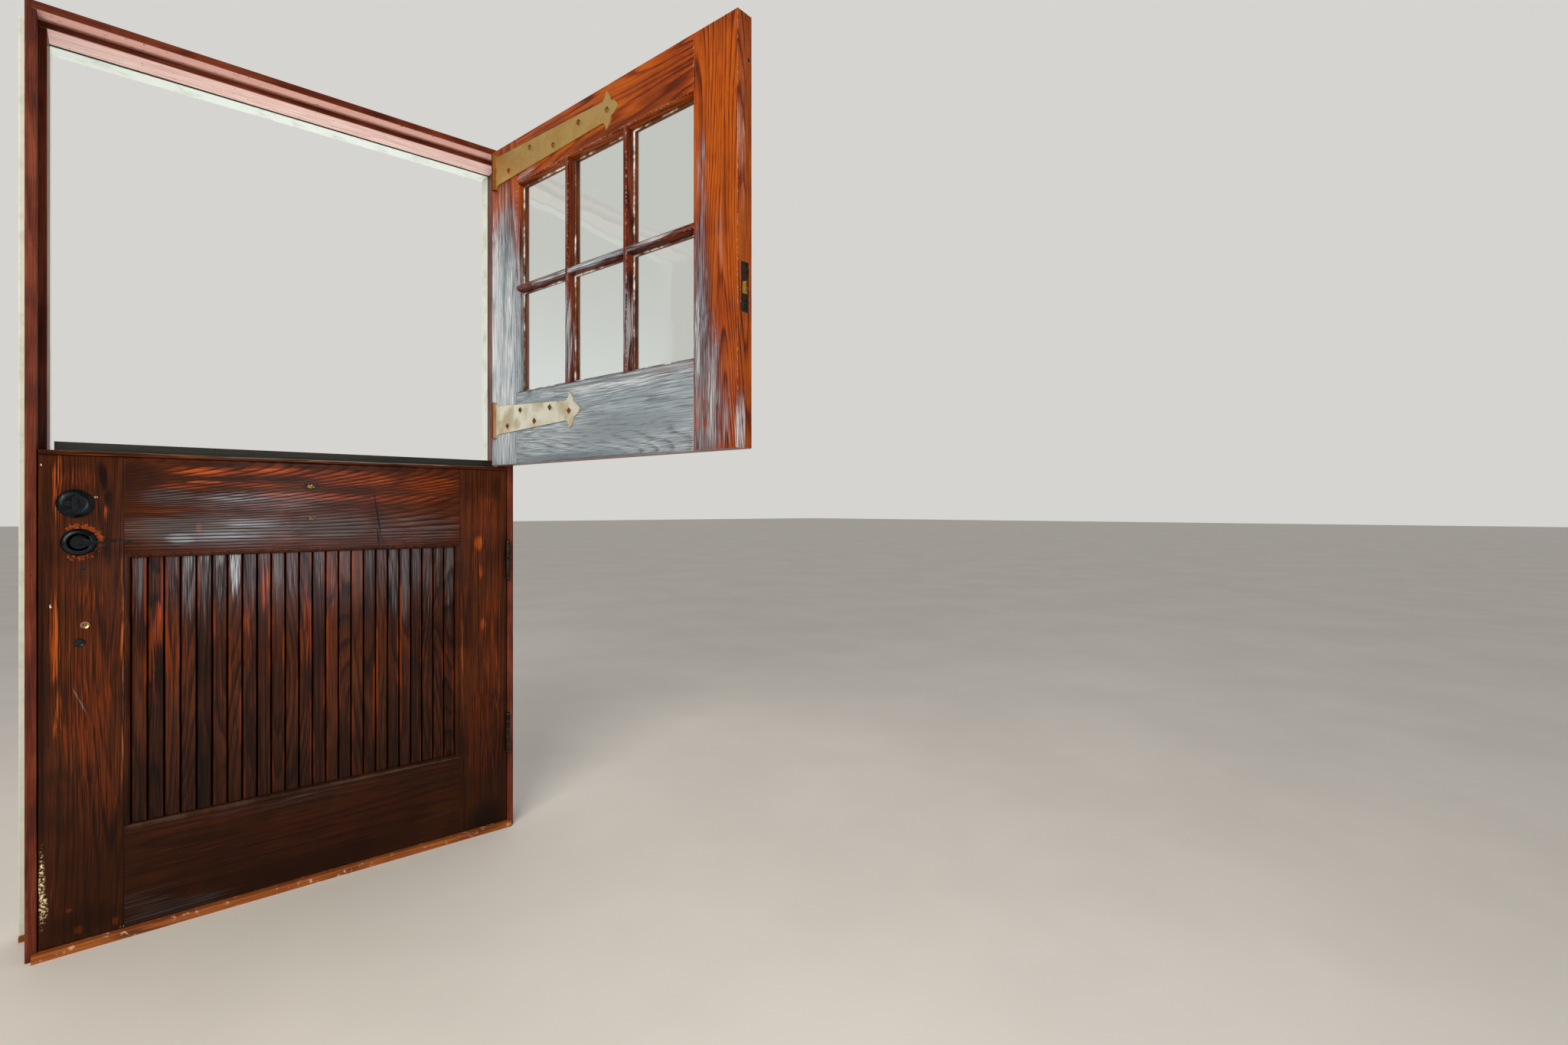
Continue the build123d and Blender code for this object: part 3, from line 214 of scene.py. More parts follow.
BOARD_MARKS = (
    (
        *RED, 0.85,
        (
            (-310, 700, 20, 110, 0.55, 8), (-284, 640, 20, 210, 0.25), (-322, 600, 14, 180, 0.25),
            (-104, 770, 20, 90, 0.5), (-134, 700, 16, 170, 0.25), (-14, 680, 18, 190, 0.35),
            (45, 760, 20, 100, 0.3),
        ),
    ),
    (
        *WORN, 0.8,
        (
            (-305, 700, 4, 80, 0.6), (-96, 800, 5, 50, 0.6), (-30, 700, 4, 120, 0.5),
            (0, 640, 4, 120, 0.5), (-272, 640, 4, 140, 0.4),
        ),
    ),
    # Painted sheen: a window's reflection on the tops of the strips, fading downwards
    (
        *PAINTED_SHEEN, 0.62,
        (
            (-344, 900, 20, 240, 0.5), (-284, 900, 20, 200, 0.45), (-254, 880, 20, 280, 0.75),
            (-224, 900, 20, 260, 0.6), (-194, 900, 20, 240, 0.5), (-134, 900, 20, 250, 0.55),
            (-104, 910, 20, 140, 0.4), (-75, 900, 20, 260, 0.5), (-45, 900, 20, 250, 0.4),
            (15, 910, 20, 220, 0.4), (75, 910, 20, 200, 0.35), (135, 900, 20, 220, 0.35),
            (164, 900, 20, 220, 0.35), (194, 880, 20, 300, 0.6), (224, 870, 20, 320, 0.7),
            (254, 900, 20, 260, 0.5), (284, 880, 20, 300, 0.5), (314, 880, 20, 260, 0.35),
            (344, 870, 20, 320, 0.6),
        ),
    ),
    # Painted highlights on the brightest strips
    (
        *PAINTED_HIGHLIGHT, 0.8,
        (
            (-164, 860, 17, 160, 0.7), (-194, 880, 16, 80, 0.5), (-254, 850, 16, 130, 0.35),
            (-224, 880, 14, 70, 0.3),
        ),
    ),
)
# Painted highlight: a pale line along the bottom moulding's upward slope
TRIM_HIGHLIGHT = (("#2e2119", "#5e564b", 0.35, ((0, 241, 520, 5, 0.9), (-200, 246, 340, 4, 0.9))),)
CAP_MARKS = (
    (
        *WORN, 0.6,
        (
            (-440, 1098, 80, 8, 0.4), (-260, 1100, 80, 6, 0.3), (40, 1100, 160, 6, 0.3),
            (300, 1099, 110, 6, 0.3),
        ),
    ),
    # Painted highlight: a pale line along the cap's edge
    ("#4a4642", "#9a958f", 0.6, ((0, 1104, 560, 4, 0.6),)),
)

# Bloom: weathered varnish gone blue-grey, with a painted sheen of the sky over it; the pale one also paints
# highlights along edges
BLOOM_AND_SHEEN = ("#444e54", "#a3b3bd")
PALE_BLOOM_AND_SHEEN = ("#7f8b94", "#dfe5e9")
STAIN = ("#241213", "#573231")
RESIN = ("#260a04", "#4a1808")
UPPER_LATCH_MARKS = (
    (*RESIN, 0.8, ((-400, 1790, 24, 160, 0.4), (-470, 1650, 18, 260, 0.35), (-450, 1250, 50, 220, 0.4))),
    (*STAIN, 0.85, ((-396, 1400, 56, 430, 0.75), (-425, 1230, 70, 220, 0.7), (-400, 1130, 90, 60, 0.7))),
    # Bloom with painted sky sheen, darker for the latch stile
    (
        "#352f33", "#8f9aa6", 0.85,
        (
            (-390, 1380, 44, 430, 0.55), (-430, 1240, 50, 240, 0.45), (-455, 1560, 24, 150, 0.2),
            (-410, 1135, 80, 60, 0.5), (-470, 1180, 36, 120, 0.35), (-398, 1720, 30, 180, 0.35),
        ),
    ),
    (
        *PALE_BLOOM_AND_SHEEN, 0.7,
        (
            (-385, 1330, 22, 300, 0.25), (-425, 1210, 40, 170, 0.3), (-506, 1150, 10, 110, 0.55),
            (-507, 1780, 2.5, 260, 0.25),
        ),
    ),
)
UPPER_HINGE_MARKS = (
    (*RESIN, 0.8, ((440, 1960, 80, 90, 0.5),)),
    (*BLOOM_AND_SHEEN, 0.97, ((440, 1440, 150, 620, 1.1), (420, 1150, 150, 130, 1.1), (430, 1800, 90, 160, 0.5))),
    (
        *PALE_BLOOM_AND_SHEEN, 0.9,
        ((485, 1480, 60, 480, 0.75), (410, 1450, 50, 420, 0.55), (440, 1240, 90, 240, 0.6)),
    ),
)
UPPER_TOP_MARKS = (
    (
        *RESIN, 0.8,
        (
            (-60, 1935, 420, 20, 0.6), (-260, 1955, 160, 40, 0.45), (200, 2030, 220, 30, 0.3),
            (-200, 2000, 200, 40, 0.3),
        ),
    ),
    (*BLOOM_AND_SHEEN, 0.5, ((330, 1940, 80, 30, 0.5),)),
)
UPPER_BOTTOM_MARKS = (
    (*BLOOM_AND_SHEEN, 0.97, ((60, 1205, 760, 260, 1.2), (-300, 1200, 260, 220, 0.9))),
    (
        *PALE_BLOOM_AND_SHEEN, 0.7,
        ((190, 1190, 380, 110, 0.25), (-40, 1290, 420, 30, 0.45), (-200, 1150, 260, 60, 0.2)),
    ),
    # Dark grey streaks in the bloom and its painted sheen
    (
        "#2c3236", "#4a545a", 0.7,
        ((-100, 1180, 420, 70, 0.3), (120, 1118, 420, 16, 0.5), (250, 1270, 200, 24, 0.3)),
    ),
    (*RESIN, 0.7, ((-60, 1303, 420, 6, 0.5), (0, 1110, 480, 5, 0.6))),
)
LEVEL_BAR_MARKS = (
    (*BLOOM_AND_SHEEN, 0.9, ((0, 1618, 420, 14, 0.6),)),
    (*PALE_BLOOM_AND_SHEEN, 0.9, ((120, 1614, 280, 9, 0.5), (-200, 1620, 200, 7, 0.45))),
)
# Bloom with painted sheen on the bars; the narrow pale lines are painted highlights along their edges
UPRIGHT_BAR_MARKS = (
    (*BLOOM_AND_SHEEN, 0.85, ((-124, 1440, 14, 220, 0.4), (124, 1450, 14, 240, 0.5), (124, 1800, 8, 150, 0.25))),
    (*PALE_BLOOM_AND_SHEEN, 0.9, ((-132, 1420, 5, 180, 0.6), (116, 1430, 5, 190, 0.6), (-116, 1380, 5, 110, 0.5))),
)


def linear(code, alpha=1.0):
    """An sRGB hex colour as linear light."""
    parts = [int(code[start:start + 2], 16) / 255 for start in (1, 3, 5)]
    low = [part / 12.92 for part in parts]
    high = [((part + 0.055) / 1.055) ** 2.4 for part in parts]
    return (*[l if part <= 0.04045 else h for part, l, h in zip(parts, low, high)], alpha)


def colour(name, description, code):
    """A colour property with its default as sRGB hex."""
    return FloatVectorProperty(
        name=name, description=description, subtype="COLOR", size=4, min=0.0, max=1.0,
        default=linear(code),
    )


class DoorSizes(PropertyGroup):
    """Sizes that the finish adds to the door."""

    edge_ease: FloatProperty(
        name="Edge easing", description="Radius that hands and paint leave on the wood's edges",
        default=1.4 * MM, min=0.2 * MM, max=3 * MM, unit="LENGTH", precision=4,
    )
    caulk_width: FloatProperty(
        name="Caulk width", description="Width of the caulk line round each pane",
        default=5 * MM, min=1 * MM, max=6 * MM, unit="LENGTH", precision=4,
    )


class DoorColours(PropertyGroup):
    """Colours of the door's finishes."""

    upper_dark: colour("Upper dark", "Late wood of the upper leaf", "#401304")
    upper_body: colour("Upper body", "Stain of the upper leaf", "#863505")
    upper_light: colour("Upper light", "Early wood of the upper leaf", "#ad5510")
    bloom: colour("Bloom", "Weathered varnish, blue-grey", "#a9b1b8")
    lower_dark: colour("Lower dark", "Late wood of the lower leaf", "#210e05")
    lower_body: colour("Lower body", "Walnut stain of the lower leaf", "#3c1b0a")
    lower_light: colour("Lower light", "Early wood of the lower leaf", "#5c2c11")
    frame_body: colour("Frame body", "Red-brown of the frame", "#57210f")
    frame_dark: colour("Frame dark", "Dark streaks of the frame", "#34110a")
    frame_light: colour("Frame light", "Chalky lights of the frame", "#7c3c26")
    sill_body: colour("Sill body", "Orange-brown of the sill", "#8a4a1e")
    casing: colour("Casing", "Pale greenish paint of the casing", "#cdd3c6")
    brass: colour("Brass", "Gold brass of the upper strap", "#e0bc74")
    pale_brass: colour("Pale brass", "Cream brass of the lower strap", "#e6dec6")
    bronze: colour("Bronze", "Oiled bronze of the locks", "#2c3033")
    floor: colour("Floor", "Plain pale floor", "#e6e3dd")


def sizes():
    """The sizes that the user has set."""
    return bpy.context.scene.stable_door_sizes


def colours():
    """The colours that the user has set."""
    return bpy.context.scene.stable_door_colours


# Meshes


def merged(name):
    """A welded copy of a CAD node's mesh with its flat faces joined."""
    mesh = bmesh.new()
    mesh.from_mesh(frame["nodes"][name].data)
    bmesh.ops.remove_doubles(mesh, verts=mesh.verts, dist=0.002 * MM)
    bmesh.ops.dissolve_limit(mesh, angle_limit=math.radians(1), verts=mesh.verts, edges=mesh.edges)
    return mesh


def place_piece(mesh, name, body, material):
    """Makes a bmesh a piece of the door that rides on a body."""
    data = bpy.data.meshes.new(name)
    mesh.to_mesh(data)
    mesh.free()
    data.materials.append(material)
    piece = bpy.data.objects.new(name, data)
    bpy.context.scene.collection.objects.link(piece)
    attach(piece, body)
    return piece


def eased(node, body, material, share=1.0):
    """A copy of a node whose long sharp edges are rounded over. It stands for the node."""
    mesh = merged(node)
    sharp = [
        edge for edge in mesh.edges
        if edge.is_manifold and edge.calc_length() > EASED_LENGTH
        and edge.calc_face_angle_signed() > math.radians(30)
    ]
    bmesh.ops.bevel(
        mesh, geom=sharp, offset=sizes().edge_ease * share, offset_type="OFFSET", affect="EDGES",
        segments=2, profile=0.5, material=-1, clamp_overlap=True,
    )
    piece = place_piece(mesh, f"eased_{node}", body, material)
    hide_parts(node)


def finish_node(name, material):
    """Gives a CAD node its material."""
    for slot in frame["nodes"][name].material_slots:
        slot.material = material


# Shader nodes


def new_material(name, upper=False):
    """An empty material, its node tree, and coordinates on the leaf that it is for."""
    material = bpy.data.materials.new(name)
    material.use_nodes = True
    tree = material.node_tree
    tree.nodes.clear()
    return material, tree, leaf_place(tree, upper)


def add(tree, kind, inputs=None, output=0, stops=None, **settings):
    """Adds one node with its settings and links, and returns one of its outputs."""
    node = tree.nodes.new("ShaderNode" + kind)
    for name, value in settings.items():
        setattr(node, name, value)
    for name, value in (inputs or {}).items():
        if isinstance(value, bpy.types.NodeSocket):
            tree.links.new(value, node.inputs[name])
        else:
            node.inputs[name].default_value = value
    if stops:
        while len(node.color_ramp.elements) < len(stops):
            node.color_ramp.elements.new(0.5)
        for element, (position, shade) in zip(node.color_ramp.elements, stops):
            element.position = position
            element.color = shade
    return node.outputs[output]


def times(tree, one, other, **settings):
    """The product of two values."""
    return add(tree, "Math", {0: one, 1: other}, operation="MULTIPLY", **settings)


def scaled_sum(tree, value, factor, rest):
    """A value times a factor, plus the rest."""
    return add(tree, "Math", {0: value, 1: factor, 2: rest}, operation="MULTIPLY_ADD")


def axis(tree, place, letter):
    """One coordinate of a place."""
    return add(tree, "SeparateXYZ", {"Vector": place}, output=letter)


def agreement(tree, one, other):
    """The dot product of two directions."""
    return add(tree, "VectorMath", {0: one, 1: other}, output="Value", operation="DOT_PRODUCT")


def soft_step(tree, value, low, high, top=1.0):
    """A smooth climb from 0 to a top between two values."""
    span = {"Value": value, "From Min": low, "From Max": high, "To Max": top}
    return add(tree, "MapRange", span, interpolation_type="SMOOTHSTEP")


def surface(tree, **inputs):
    """Closes a material with its shader and output."""
    names = {name.replace("_", " "): value for name, value in inputs.items()}
    shader = add(tree, "BsdfPrincipled", names)
    output = tree.nodes.new("ShaderNodeOutputMaterial")
    tree.links.new(shader, output.inputs["Surface"])


def leaf_place(tree, upper):
    """Object coordinates in metres, turned back with the upper leaf as if it were shut."""
    place = add(tree, "TexCoord", output="Object")
    if not upper:
        return place
    back = add(
        tree, "Mapping", {"Vector": place, "Location": pin, "Rotation": (0, 0, opened)},
        vector_type="TEXTURE",
    )
    return add(tree, "VectorMath", {0: back, 1: tuple(pin)}, operation="ADD")


def along_grain(tree, place, along, seed):
    """Coordinates with Z along the grain, wandering a little, and their own for each seed."""
    turn = {"Z": (0, 0, 0), "X": (0, math.pi / 2, 0)}[along]
    moved = add(
        tree, "Mapping", {"Vector": place, "Location": (seed * 1.7, seed * 0.9, seed * 2.3), "Rotation": turn}
    )
    wander = add(tree, "TexNoise", {"Vector": moved, "Scale": 2.2, "Detail": 2.0}, output="Color")
    centred = add(tree, "VectorMath", {0: wander, 1: (0.5, 0.5, 0.5)}, operation="SUBTRACT")
    small = add(tree, "VectorMath", {0: centred, "Scale": 0.02}, operation="SCALE")
    return add(tree, "VectorMath", {0: moved, 1: small}, operation="ADD")


def growth_rings(tree, grain, spacing, stretch, arcs=None):
    """The flame of plain-sawn wood: 0 in a dark late-wood line and 1 between the lines."""
    waves, climb, wobble = 7.0, 0.4, 8.0
    drawn = add(tree, "Mapping", {"Vector": grain, "Scale": (1, 1, stretch)})
    field = add(tree, "TexNoise", {"Vector": drawn, "Scale": waves, "Detail": 1.6, "Roughness": 0.45})
    # The noise climbs by about 0.4 over half of its 143 mm wave. Arcs are only shaken by it.
    rings = wobble if arcs else 0.5 / waves / climb / spacing
    count = times(tree, field, rings)
    if arcs:
        count = add(tree, "Math", {0: count, 1: arcs}, operation="ADD")
    step = add(tree, "Math", {0: count}, operation="FRACT")
    tones = ((0.0, 0.6), (0.1, 1.0), (0.6, 0.7), (0.84, 0.1), (0.92, 0.0), (1.0, 0.6))
    return add(tree, "ValToRGB", {"Fac": step}, stops=[(at, (tone, tone, tone, 1)) for at, tone in tones])


def fibres(tree, grain, width=FIBRE_WIDTH):
    """Streaks along the grain, 0 to 1. The real ones are finer and are drawn wide enough to show."""
    drawn = add(tree, "Mapping", {"Vector": grain, "Scale": (1, 1, FIBRE_STRETCH)})
    field = add(tree, "TexNoise", {"Vector": drawn, "Scale": 1 / width, "Detail": 2.5, "Roughness": 0.6})
    return add(tree, "MapRange", {"Value": field, "From Min": 0.34, "From Max": 0.66})


def blotches(tree, place, size, low, high, detail=3.0):
    """Soft-edged spots of a size, from 0 to 1."""
    field = add(tree, "TexNoise", {"Vector": place, "Scale": 1 / size, "Detail": detail, "Roughness": 0.62})
    return soft_step(tree, field, low, high)


def patches(tree, place, spots):
    """Soft ellipses, given one by one: middle X and Z, half sizes in X and Z in mm, strength, lean in
    degrees.
    """
    total = None
    far = 1000.0
    for x, z, half_x, half_z, strength, *lean in spots:
        turn = math.radians(lean[0]) if lean else 0.0
        local = add(
            tree, "Mapping",
            {
                "Vector": place, "Location": (x * MM, 0, z * MM), "Rotation": (0, turn, 0),
                "Scale": (half_x * MM, far, half_z * MM),
            },
            vector_type="TEXTURE",
        )
        ball = add(tree, "TexGradient", {"Vector": local}, gradient_type="SPHERICAL")
        one = soft_step(tree, ball, 0.0, 0.8, strength)
        total = one if total is None else add(tree, "Math", {0: total, 1: one}, operation="MAXIMUM")
    return total


def marked(tree, wood, place, texture, marks, outdoors=False):
    """Marks on one side of the leaf, torn into streaks and shaded by the wood's own texture."""
    far, near = (20 * MM, 23 * MM) if outdoors else (24 * MM, 21 * MM)
    tear, bare, full, rim = 0.9, 0.62, 1.25, 4.0
    side = add(tree, "MapRange", {"Value": axis(tree, place, "Y"), "From Min": far, "From Max": near})
    for dark, light, cover, spots in marks:
        soft = patches(tree, place, spots)
        seen = scaled_sum(tree, texture, tear, soft)
        share = soft_step(tree, seen, bare, full, cover)
        share = times(tree, share, times(tree, soft, rim, use_clamp=True))
        share = times(tree, share, side)
        shade = blend(tree, texture, linear(dark), linear(light))
        wood = blend(tree, share, wood, shade)
    return wood


def by_height(tree, place, low, high):
    """0 below a height and 1 above another, both in metres, or the other way round."""
    return soft_step(tree, axis(tree, place, "Z"), low, high)


def worn_edge(tree, radius):
    """1 along the sharp edges of a piece and 0 away from them."""
    rounded = add(tree, "Bevel", {"Radius": radius}, samples=4)
    flat = add(tree, "NewGeometry", output="Normal")
    return soft_step(tree, agreement(tree, rounded, flat), 0.98, 0.8)


def blend(tree, share, under, over):
    """One finish lying over another by its share."""
    return add(tree, "Mix", {0: share, 6: under, 7: over}, output=2, data_type="RGBA")


# Wood finishes


def wood_tone(
    tree, grain, place, spacing, ring_share, fibre_share, stretch=0.05, arcs=None, width=FIBRE_WIDTH
):
    """How light the wood is, from its rings, fibres and slow changes of tone, and its streaks."""
    rings = growth_rings(tree, grain, spacing, stretch, arcs)
    fibre = fibres(tree, grain, width)
    slow = blotches(tree, place, 180 * MM, 0.3, 0.7)
    part = scaled_sum(tree, fibre, fibre_share, times(tree, rings, ring_share))
    tone = scaled_sum(tree, slow, 1 - ring_share - fibre_share, part)
    torn = 0.65 if arcs else 0.25
    return tone, scaled_sum(tree, fibre, 1 - torn, times(tree, rings, torn))


def varnished(tree, tint, height, roughness, gloss):
    """Closes a wood material: stain under old varnish, with the grain standing a little."""
    low, high = roughness
    rough = add(tree, "MapRange", {"Value": height, "To Min": high, "To Max": low})
    normal = add(tree, "Bump", {"Strength": 0.6, "Distance": 0.35 * MM, "Height": height})
    surface(tree, Base_Color=tint, Roughness=rough, IOR=1.5, Specular_IOR_Level=gloss, Normal=normal)


def upper_wood(name, along, seed, marks, body):
    """Plain-sawn softwood, red-orange stain under old varnish that bloomed to blue-grey low down, with a
    painted sheen of the sky over the bloom.
    """
    material, tree, place = new_material(name, True)
    grain = along_grain(tree, place, along, seed)
    tone, streaks = wood_tone(tree, grain, place, 4 * MM, 0.4, 0.4, 0.06, width=1.3 * MM)
    dark, middle, light = body
    wood = add(tree, "ValToRGB", {"Fac": tone}, stops=[(0.22, dark), (0.5, middle), (0.8, light)])
    wood = marked(tree, wood, place, streaks, marks, True)
    share = times(tree, worn_edge(tree, 3 * MM), blotches(tree, place, 7 * MM, 0.5, 0.62))
    wood = blend(tree, share, wood, colours().bloom)
    varnished(tree, wood, tone, (0.2, 0.36), 0.14)
    return material


def lower_wood(name, along, seed, marks, dots=(), flame=False, dot_size=5 * MM):
    """Dark walnut stain under gloss varnish, worn through to orange wood, and painted shade makes it black at
    the bottom.
    """
    material, tree, place = new_material(name)
    tint = colours()
    grain = along_grain(tree, place, along, seed)
    arcs = flame_arcs(tree, place) if flame else None
    tone, streaks = wood_tone(tree, grain, place, 6 * MM, 0.3, 0.4, 0.03, arcs)
    stops = [(0.15, tint.lower_dark), (0.5, tint.lower_body), (0.9, tint.lower_light)]
    wood = add(tree, "ValToRGB", {"Fac": tone}, stops=stops)
    wood = marked(tree, wood, place, streaks, marks)
    # Painted shade: darker towards the bottom
    foot_shade = times(tree, by_height(tree, place, 0.62, 0.1), 0.65)
    wood = blend(tree, foot_shade, wood, linear("#140802"))
    if dots:
        wood = marked(tree, wood, place, blotches(tree, place, dot_size, 0.3, 0.7), dots)
    varnished(tree, wood, tone, (0.14, 0.3), 0.1)
    return material


def flame_arcs(tree, place):
    """Ring count of arcs that leave a rail's top edge and bend down to the left into level grain."""
    pitch, top, low, bend = 42 * MM, 1.09, 0.83, 0.06
    steep, curl = 0.3, 42.0
    turned = top - bend
    z = axis(tree, place, "Z")
    down = add(tree, "MapRange", {"Value": z, "From Min": top, "From Max": turned, "To Max": bend})
    curled = times(tree, scaled_sum(tree, down, curl, steep), down)
    fall = (steep + 2 * curl * bend) * (turned - low)
    level = add(tree, "MapRange", {"Value": z, "From Min": turned, "From Max": low, "To Max": fall})
    run = scaled_sum(tree, axis(tree, place, "X"), by_height(tree, place, 0.9, turned), curled)
    run = add(tree, "Math", {0: run, 1: level}, operation="ADD")
    return add(tree, "Math", {0: run, 1: pitch}, operation="DIVIDE")


def frame_wood(name, along, seed, body):
    """Softwood with a red-brown varnish, with painted light on the head: pale pink where it faces down."""
    material, tree, place = new_material(name)
    grain = along_grain(tree, place, along, seed)
    tone = wood_tone(tree, grain, place, 9 * MM, 0.2, 0.4)[0]
    dark, middle, light = body
    wood = add(tree, "ValToRGB", {"Fac": tone}, stops=[(0.15, dark), (0.5, middle), (0.9, light)])
    if along == "X":
        # Painted light on the head: pale pink where it faces down, as if lit from the floor below, and paler
        # towards outdoors, as if nearer the outdoor light
        facing = axis(tree, add(tree, "NewGeometry", output="Normal"), "Z")
        down = add(tree, "MapRange", {"Value": facing, "From Min": -0.3, "From Max": -0.8})
        depth = axis(tree, place, "Y")
        out = add(tree, "MapRange", {"Value": depth, "From Min": 45 * MM, "From Max": 50 * MM})
        painted_soffit_light = blend(tree, out, linear("#c8988a"), linear("#dcc4b8"))
        painted_soffit_light = blend(tree, fibres(tree, grain), linear("#b08474"), painted_soffit_light)
        wood = blend(tree, down, wood, painted_soffit_light)
    wood = blend(tree, blotches(tree, place, 9 * MM, 0.66, 0.72), wood, dark)
    varnished(tree, wood, tone, (0.3, 0.5), 0.15)
    return material


def sill_wood():
    """Hardwood sill, orange-brown gloss, scuffed by feet."""
    material, tree, place = new_material("varnished_hardwood_sill")
    grain = along_grain(tree, place, "X", 3.1)
    tone = wood_tone(tree, grain, place, 8 * MM, 0.25, 0.45)[0]
    stops = [(0.15, linear("#4a220c")), (0.5, colours().sill_body), (0.9, linear("#a8602a"))]
    wood = add(tree, "ValToRGB", {"Fac": tone}, stops=stops)
    scuffs = blotches(tree, grain, 16 * MM, 0.6, 0.72)
    wood = blend(tree, scuffs, wood, linear("#d0a888"))
    varnished(tree, wood, tone, (0.3, 0.5), 0.2)
    return material


def board_wood():
    """Narrow boards in dark stain, each strip between two grooves with its own tone."""
    material, tree, place = new_material("walnut_stained_boards")
    first, pitch = -358.8 * MM, 59.8 * MM / 2
    groove_face, groove_foot, board_middle = 15.4 * MM, 17.5 * MM, 21 * MM
    depth = axis(tree, place, "Y")
    moved = add(tree, "Math", {0: axis(tree, place, "X"), 1: first}, operation="SUBTRACT")
    count = add(tree, "Math", {0: moved, 1: pitch}, operation="DIVIDE")
    strip = add(tree, "Math", {0: count}, operation="FLOOR")
    own = add(tree, "TexWhiteNoise", {"W": strip}, output="Value", noise_dimensions="1D")
    own_shift = add(tree, "TexWhiteNoise", {"W": strip}, output="Color", noise_dimensions="1D")
    shifted = add(tree, "VectorMath", {0: own_shift, 1: (3, 3, 3), 2: place}, operation="MULTIPLY_ADD")
    grain = along_grain(tree, shifted, "Z", 5.0)
    tone, streaks = wood_tone(tree, grain, shifted, 6 * MM, 0.35, 0.4, 0.1)
    tone = scaled_sum(tree, own, 0.3, tone)
    stops = [(0.3, linear("#110702")), (0.7, linear("#33170b")), (1.0, linear("#562a14"))]
    wood = add(tree, "ValToRGB", {"Fac": tone}, stops=stops)
    # Orange where the strips' edges have worn, next to the grooves
    within = add(tree, "Math", {0: count}, operation="FRACT")
    side = add(tree, "Math", {0: within, 1: 0.5}, operation="SUBTRACT")
    side = add(tree, "Math", {0: side}, operation="ABSOLUTE")
    edge = add(tree, "MapRange", {"Value": side, "From Min": 0.24, "From Max": 0.38})
    long_streaks = add(tree, "Mapping", {"Vector": shifted, "Scale": (1, 1, 0.12)})
    share = times(tree, edge, blotches(tree, long_streaks, 30 * MM, 0.5, 0.66))
    wood = blend(tree, share, wood, linear("#7e3412"))
    wood = marked(tree, wood, place, streaks, BOARD_MARKS)
    # Painted shade: the boards darker towards the bottom
    foot_shade = times(tree, by_height(tree, place, 0.62, 0.22), 0.6)
    wood = blend(tree, foot_shade, wood, linear("#120803"))
    # Painted shade: the faces of the grooves nearly black on the room side
    groove_shade = add(tree, "MapRange", {"Value": depth, "From Min": groove_face, "From Max": groove_foot})
    room_side = add(tree, "Math", {0: depth, 1: board_middle}, operation="LESS_THAN")
    wood = blend(tree, times(tree, groove_shade, room_side), wood, linear("#050302"))
    varnished(tree, wood, tone, (0.12, 0.28), 0.12)
    return material


# Paint, metal, rubber and glass finishes


def casing_paint():
    """Gloss paint on wood, brushed along the boards and a little dirty."""
    material, tree, place = new_material("brushed_gloss_paint")
    dirt = blotches(tree, place, 60 * MM, 0.45, 0.75)
    tint = blend(tree, dirt, colours().casing, linear("#b4b9a8"))
    rough = add(tree, "MapRange", {"Value": dirt, "To Min": 0.35, "To Max": 0.6})
    brush = fibres(tree, place, 4 * MM)
    normal = add(tree, "Bump", {"Strength": 0.3, "Distance": 0.2 * MM, "Height": brush})
    surface(tree, Base_Color=tint, Roughness=rough, IOR=1.5, Normal=normal)
    return material


def lip_paint():
    """Green-black paint on the weather lip, worn to orange wood along its edges."""
    material, tree, place = new_material("worn_black_paint")
    chips = blotches(tree, place, 14 * MM, 0.45, 0.6)
    grain = along_grain(tree, place, "X", 2.0)
    paint = blend(tree, fibres(tree, grain, 3 * MM), linear("#12140e"), linear("#2b2c1f"))
    tint = blend(tree, times(tree, worn_edge(tree, 3 * MM), chips), paint, linear("#a8622a"))
    large = blotches(tree, place, 22 * MM, 0.56, 0.68)
    share = times(tree, by_height(tree, place, 1.1, 1.094), large)
    tint = blend(tree, share, tint, linear("#7c4c1c"))
    normal = add(tree, "Bump", {"Strength": 0.4, "Distance": 0.3 * MM, "Height": chips})
    surface(tree, Base_Color=tint, Roughness=0.42, IOR=1.5, Specular_IOR_Level=0.3, Normal=normal)
    return material


def seal_rubber():
    """Black sealing strip, matt with dust in its skin."""
    material, tree, place = new_material("dusty_rubber_strip")
    dust = blotches(tree, place, 25 * MM, 0.45, 0.75)
    tint = blend(tree, dust, linear("#0d0d0e"), linear("#2a2928"))
    rough = add(tree, "MapRange", {"Value": dust, "To Min": 0.6, "To Max": 0.85})
    surface(tree, Base_Color=tint, Roughness=rough, IOR=1.52)
    return material


